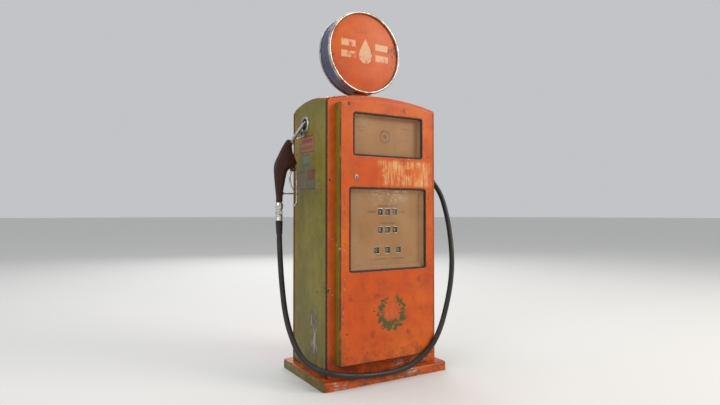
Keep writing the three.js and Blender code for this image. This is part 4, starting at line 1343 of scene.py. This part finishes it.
# ---- the sign ------------------------------------------------------------------------------
def make_globe(mats):
    radius, z = rim_high.x, (rim_low.z + rim_high.z) / 2
    front, back = rim_low.y, rear_rim_high.y
    depth = back - front
    to_y = along((0, 1, 0), (0, front, z))
    shell, wall, rim = radius - 0.005, 0.004, 0.016
    half = [(shell - wall, rim), (shell, rim), (shell, rim + 0.006), (shell + 0.0022, rim + 0.009),
            (shell + 0.0022, rim + 0.012), (shell, rim + 0.015), (shell, depth / 2 - 0.004),
            (shell + 0.0016, depth / 2 - 0.002)]
    drum = half + [(r, depth - h) for r, h in reversed(half)]
    shape = placed(turned(drum, 128, loop=True), to_y)
    piece = new_piece("sign_drum", *shape, mats["drum"], slot="drum_steel")
    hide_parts("globe_drum")
    bead = mm((14.2, 4), (12.5, 1.2), (9, 0), (5, 0.4), (2, 2.2), (0, 5.5), (0, 15), (1, 16), (9, 16),
              (14.2, 10.5))
    rolled = [(radius - across, h) for across, h in bead]
    lens_radius = radius - 0.0143
    lens = [(0, 0.0020)]
    for i in range(1, 25):
        share = i / 24
        lens.append((lens_radius * share, 0.0022 + 0.0098 * share ** 2.6))
    lens += [(lens_radius, rim - 0.001), (0, rim - 0.001)]
    for end in ("front", "rear"):
        flip = (lambda p: p) if end == "front" else (lambda p: [(r, depth - h) for r, h in p])
        bezel = placed(turned(flip(rolled), 128, loop=True), to_y)
        piece = new_piece(f"sign_{end}_bezel", *bezel, mats["steel"], slot="bare_steel")
        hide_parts(f"globe_{end}_rim")
        face = placed(turned(flip(lens), 128), to_y)
        piece = new_piece(f"sign_{end}_lens", *face, mats["lens"], slot="orange_paint")
        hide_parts(f"globe_{end}_lens")
    parts = Parts()
    for c, s in around(6, 0.5):
        out = Vector((c, 0, s))
        for y in (front + 0.0095, back - 0.0095):
            screw(parts, out * (radius - 0.0004) + Vector((0, y, z)), out, 0.0030)
    parts.piece("sign_bezel_screws", mats["steel"], slot="bare_steel")

    low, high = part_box("globe_collar")
    middle = (low.y + high.y) / 2
    collar = Parts()
    reach, sides, rows = high.x, 72, 10
    vertices = []
    for k in range(rows):
        share = k / (rows - 1)
        for s in range(sides):
            angle = TAU * s / sides
            flare = reach * (1 - 0.16 * math.sin(math.pi * share))
            x, y = flare * math.cos(angle), flare * math.sin(angle)
            top = z - math.sqrt((shell + 0.0034) ** 2 - x * x)
            foot = roof_height(x, middle + y) + 0.0003
            vertices.append((x, middle + y, foot + (top - foot) * share))
    collar.add(vertices, rings_to_faces(rows, sides))
    piece = collar.piece("sign_pedestal", mats["enamel"], slot="orange_paint")
    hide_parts("globe_collar")


# ---- the nozzle and its boot ---------------------------------------------------------------
def make_holder(mats):
    parts = Parts()
    profile = rounded_profile(mm((0, 42), (31.8, 42), (31.8, -6), (34, -8), (42, -8), (45.8, -4.5),
                                 (45.8, -0.3), (35, -0.3), (35, 44.8), (0, 44.8)), 0.0016)
    parts.add(*turned(profile, 72), along((1, 0, 0), (-HALF, BOOT_Y, BOOT_Z)))
    for c, s in around(4, 0.5):
        at = (-HALF - 0.0076, BOOT_Y + 0.0395 * c, BOOT_Z + 0.0395 * s)
        screw(parts, at, (-1, 0, 0), 0.0034)
    for y in (-0.0173, 0.0133):
        corner = Vector((-HALF - 0.021, BOOT_Y + y, 1.252))
        parts.add(*soft_box(corner, corner + Vector((0.015, 0.004, 0.032)), 0.0012))
    holder = parts.piece("nozzle_boot", mats["steel"], slot="bare_steel")
    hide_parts("nozzle_holder")

    pivot = Vector((-0.345, 0.056, 1.258))
    hook = Parts()
    route = mm((-1, 0, 1), (-12, 0, -6), (-24, 0, -14.5), (-28.5, 0, -12.5), (-31, 0, -7.5))
    path, _ = smooth_path([pivot + Vector(p) for p in route], 26)
    hook.add(*strap(path, 0.022, 0.0030))
    hook.add(*pin(0.0053, -0.0125, 0.0125, 0.001, 28), along((0, 1, 0), pivot))
    piece = hook.piece("boot_hook", mats["chrome"], body="hook", slot="chrome_trim")
    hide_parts("switch_hook")


NOZZLE = Vector((-0.477, 0.056, 0))
# The nozzle body's stations: left edge, right edge, and half its thickness, in millimetres.
STATIONS = [
    ((-16, 905.5), (16, 905.5), 16.0), ((-16.5, 912), (17, 912), 16.5), ((-15, 926), (17, 926), 15.5),
    ((-17, 945), (18.5, 945), 15.5), ((-20.5, 975), (22.5, 975), 16.5), ((-24, 1010), (29.5, 1010), 17.5),
    ((-27, 1042), (36, 1042), 18.0), ((-29, 1072), (45, 1070), 18.5), ((-28.5, 1088), (60, 1084), 18.8),
    ((-26, 1103), (88, 1097), 19.0), ((-20, 1121), (96.5, 1114), 19.0), ((-9, 1143), (88, 1138), 18.0),
    ((5, 1172), (74, 1169), 16.0), ((20, 1200), (69.5, 1196), 14.5), ((34, 1222), (71, 1213), 14.0),
    ((44, 1236), (75, 1223), 13.6),
]


def make_nozzle(mats):
    count = 90
    left, _ = smooth_path([(a[0] * MM, 0, a[1] * MM) for a, _, _ in STATIONS], count)
    right, _ = smooth_path([(b[0] * MM, 0, b[1] * MM) for _, b, _ in STATIONS], count)
    thick = []
    for i in range(count):
        at = i / (count - 1) * (len(STATIONS) - 1)
        k = min(int(at), len(STATIONS) - 2)
        thick.append((STATIONS[k][2] + (STATIONS[k + 1][2] - STATIONS[k][2]) * (at - k)) * MM)
    sides = 40
    vertices = []
    for i in range(count):
        middle = (left[i] + right[i]) / 2
        half = (right[i] - left[i]) / 2
        closing = min(1.0, 0.90 + 0.05 * i, 0.90 + 0.05 * (count - 1 - i))
        for s in range(sides):
            angle = TAU * s / sides
            c, d = math.cos(angle), math.sin(angle)
            power = 0.78
            a = math.copysign(abs(c) ** power, c) * closing
            b = math.copysign(abs(d) ** power, d) * closing
            vertices.append(NOZZLE + middle + half * a + Vector((0, thick[i] * b, 0)))
    body = Parts()
    body.add(vertices, rings_to_faces(count, sides))
    for side in (-1, 1):
        boss = rounded_profile(mm((0, 7), (15, 7), (15, 16.3), (12.5, 18.2), (6, 18.2), (0, 18.2)), 0.002)
        body.add(*turned(boss, 40), along((0, side, 0), NOZZLE + Vector((0.046, 0, 1.112))))
        low = -0.0125 if side < 0 else 0.0090
        corner = NOZZLE + Vector((0.064, low, 1.070))
        body.add(*soft_box(corner, corner + Vector((0.021, 0.0034, 0.032)), 0.0014))
    piece = body.piece("nozzle_casting", mats["nozzle"], body="nozzle", slot="nozzle_lacquer", smooth=50)
    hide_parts("nozzle_body")

    bright = Parts()
    route = [NOZZLE + Vector(p) for p in mm((57, 0, 1211), (72, 0, 1231), (100, 0, 1270), (128, 0, 1309),
                                            (148, 0, 1331.5), (167.5, 0, 1337))]
    path, _ = smooth_path(route, 80)
    bright.add(*swept(path, 0.0093, 32))
    tip = [path[-1], path[-1] - (path[-1] - path[-2]).normalized() * 0.006]
    bright.add(*swept([tip[1], tip[0]], 0.00945, 32))
    direction = path[12] - path[4]
    hex_nut(bright, path[4], direction, 0.0285, 0.011)
    collar = rounded_profile([(0, 0), (0.0125, 0), (0.0125, 0.007), (0.0102, 0.010), (0, 0.010)], 0.0015)
    bright.add(*turned(collar, 40), along(direction, path[4] + direction.normalized() * 0.0105))
    for share in (24, 27, 30):
        bright.add(*swept([path[share], path[share + 1]], 0.0101, 32))
    piece = bright.piece("nozzle_tube", mats["steel"], body="nozzle", slot="bare_steel", smooth=35)
    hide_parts("nozzle_spout")

    guard = Parts()
    route = [NOZZLE + Vector(p) for p in mm((91, 0, 1099), (96, 0, 1070), (99, 0, 1035), (99, 0, 1000),
                                            (99.5, 0, 965), (99, 0, 930), (97, 0, 906), (88.5, 0, 892))]
    path, _ = smooth_path(route, 70)
    guard.add(*swept(path, 0.0044, 20))
    guard.add(*pin(0.0058, -0.0058, 0.0058, 0.0045, 24, 6), Matrix.Translation(path[-1]))
    bar = [NOZZLE + Vector((0.0165, 0, 0.953)), NOZZLE + Vector((0.0985, 0, 0.953))]
    guard.add(*swept([bar[0].lerp(bar[1], i / 12) for i in range(13)], 0.0039, 20))
    for at, across in ((0.0205, 0.014), (0.0940, 0.0125)):
        hex_nut(guard, NOZZLE + Vector((at, 0, 0.953)), (1, 0, 0), across, 0.005)
    piece = guard.piece("nozzle_guard_rod", mats["steel"], body="nozzle", slot="bare_steel", smooth=35)
    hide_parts("nozzle_guard")

    pivot = NOZZLE + Vector((0.075, 0, 1.081))
    lever = Parts()
    route = mm((0, 0, 0), (-14, 0, -26), (-17, 0, -50), (-9, 0, -86), (5, 0, -116))
    route = [pivot + Vector(p) for p in route]
    path, _ = smooth_path(route, 60)
    lever.add(*swept(path, lambda share: 0.0044 + 0.0006 * math.sin(math.pi * share), 20))
    lever.add(*pin(0.0052, -0.0052, 0.0052, 0.004, 24, 6), Matrix.Translation(path[-1]))
    lever.add(*pin(0.0058, -0.0072, 0.0072, 0.001, 32), along((0, 1, 0), pivot))
    lever.add(*pin(0.0026, -0.0145, 0.0145, 0.0006, 16), along((0, 1, 0), pivot))
    piece = lever.piece("nozzle_lever", mats["chrome"], body="trigger", slot="chrome_trim", smooth=40)
    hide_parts("nozzle_trigger")


def make_swivel(mats):
    parts = Parts()
    profile = mm((0, 812.5), (16.5, 812.5), (17.8, 816), (16.8, 820), (17.8, 824), (16.8, 828), (18, 832),
                 (18, 840), (15, 842), (15, 843), (15, 863), (17, 865), (17, 873), (20, 876), (20.5, 880),
                 (20.5, 893), (19.5, 896), (17, 905), (0, 905))
    parts.add(*turned(rounded_profile(profile, 0.0009, 3), 64), Matrix.Translation((NOZZLE.x, NOZZLE.y, 0)))
    hex_nut(parts, (NOZZLE.x, NOZZLE.y, 0.8425), (0, 0, 1), 0.0362, 0.0205)
    piece = parts.piece("swivel_joint", mats["chrome"], body="swivel", slot="chrome_trim", smooth=35)
    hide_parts("nozzle_swivel")
    return piece


def make_outlet(mats):
    parts = Parts()
    at = Vector((HALF, OUTLET[0].y, OUTLET[0].z))
    flange = mm((0, 0.4), (35.8, 0.4), (35.8, 5), (32, 8), (23.5, 8.2), (21.5, 12), (0, 12))
    parts.add(*turned(rounded_profile(flange, 0.0018), 72), along((1, 0, 0), at))
    for c, s in around(4, 0.5):
        hex_nut(parts, at + Vector((0.0076, 0.0285 * c, 0.0285 * s)), (1, 0, 0), 0.0088, 0.0042)
    path, _ = smooth_path([OUTLET[0] + Vector((0.001, 0, 0)), *OUTLET[1:]], 40)
    parts.add(*swept(path, 0.0183, 40))
    start = OUTLET[3]
    end = Vector(HOSE_ROUTE[-1]) * MM
    to_hose = (end - start).normalized()
    reach = (end - start).length
    profile = mm((0, -8), (19, -8), (19, -2), (17.2, 0), (17.2, 18), (18.8, 20), (18.8, 26), (17.6, 29),
                 (18.6, 32), (17.6, 35), (18.6, 38), (17.6, 41), (18.5, 44))
    profile += [(0.0185, reach - 0.0006), (0, reach - 0.0006)]
    parts.add(*turned(rounded_profile(profile, 0.0009, 3), 56), along(to_hose, start))
    hex_nut(parts, start + to_hose * 0.001, to_hose, 0.0365, 0.016)
    piece = parts.piece("outlet_elbow", mats["steel"], slot="bare_steel", smooth=35)
    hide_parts("hose_outlet")


def make_works(mats):
    """The motor's end rings, ribs and terminal box, and the register's rear cover with its screws."""
    low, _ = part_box("motor")
    middle = Vector((low.x + 0.115, 0.090, 0.130))
    fittings = Parts()
    bands = [(at, 0.012, 0.0730) for at in (-0.092, 0.092)]
    bands += [(0.015 * i, 0.004, 0.0728) for i in range(-4, 5)]
    for at, width, radius in bands:
        profile = [(0.0705, -width / 2), (radius - 0.0004, -width / 2), (radius, -width / 2 + 0.0005),
                   (radius, width / 2 - 0.0005), (radius - 0.0004, width / 2), (0.0705, width / 2)]
        fittings.add(*turned(profile, 64, loop=True), along((1, 0, 0), middle + Vector((at, 0, 0))))
    corner = middle + Vector((-0.030, -0.022, 0.069))
    fittings.add(*soft_box(corner, corner + Vector((0.060, 0.044, 0.022)), 0.003))
    for c, s in around(6, 0.5):
        hex_nut(fittings, middle + Vector((-0.1004, 0.062 * c, 0.062 * s)), (-1, 0, 0), 0.008, 0.004)
    fittings.piece("motor_fittings", mats["machine"], slot="machine_paint")

    low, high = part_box("register_box")
    back = high.y
    outline = rounded_rectangle(low.x + 0.018, high.x - 0.018, low.z + 0.018, high.z - 0.018, 0.012)
    cover = plate(outline, [], back - 0.0004, back + 0.0018, 0.0008)
    cover.piece("register_rear_cover", mats["machine"], slot="machine_paint")
    screws = Parts()
    for x in (low.x + 0.030, (low.x + high.x) / 2, high.x - 0.030):
        for z in (low.z + 0.030, (low.z + high.z) / 2, high.z - 0.030):
            if (x, z) != ((low.x + high.x) / 2, (low.z + high.z) / 2):
                screw(screws, (x, back + 0.0018, z), (0, 1, 0), 0.0048)
    screws.piece("register_cover_screws", mats["steel"], slot="bare_steel")


# ---- CAD pieces that keep their shape ------------------------------------------------------
KEPT = {
    "brass": ["meter"],
    "machine": ["register_box", "motor"],
    "cast": ["pump_shelf", "register_shelf", "motor_pulley", "pump_pulley", "pump_unit", "suction_pipe",
             "discharge_pipe", "junction_box"],
    "rubber": ["drive_belt"],
    "steel": ["sale_wheel_shaft", "volume_wheel_shaft", "price_wheel_shaft", "meter_shaft"],
    "counter": ROWS,
    "lamp": ["sign_lamp", "globe_lamp"],
}


def dress_frame(mats):
    for key, names in KEPT.items():
        for name in names:
            node = nodes[name]
            if not node.material_slots:
                node.data.materials.append(mats[key])
            for held in node.material_slots:
                held.material = mats[key]
            soften = node.modifiers.new("soft_edges", "BEVEL")
            soften.width = 0.0012
            soften.segments = 2
            soften.limit_method = "ANGLE"
            soften.angle_limit = math.radians(38)
            soften.use_clamp_overlap = True
            even_normals(node)


make_camera()
mats = make_materials()
make_hose(mats, make_swivel(mats))
make_base(mats)
make_frames(mats)
make_sides(mats)
make_roof(mats)
make_door(mats)
make_windows(mats)
make_dial(mats)
make_numerals(mats)
make_lock(mats)
make_rear(mats)
make_globe(mats)
make_holder(mats)
make_nozzle(mats)
make_outlet(mats)
make_works(mats)
dress_frame(mats)
make_studio()
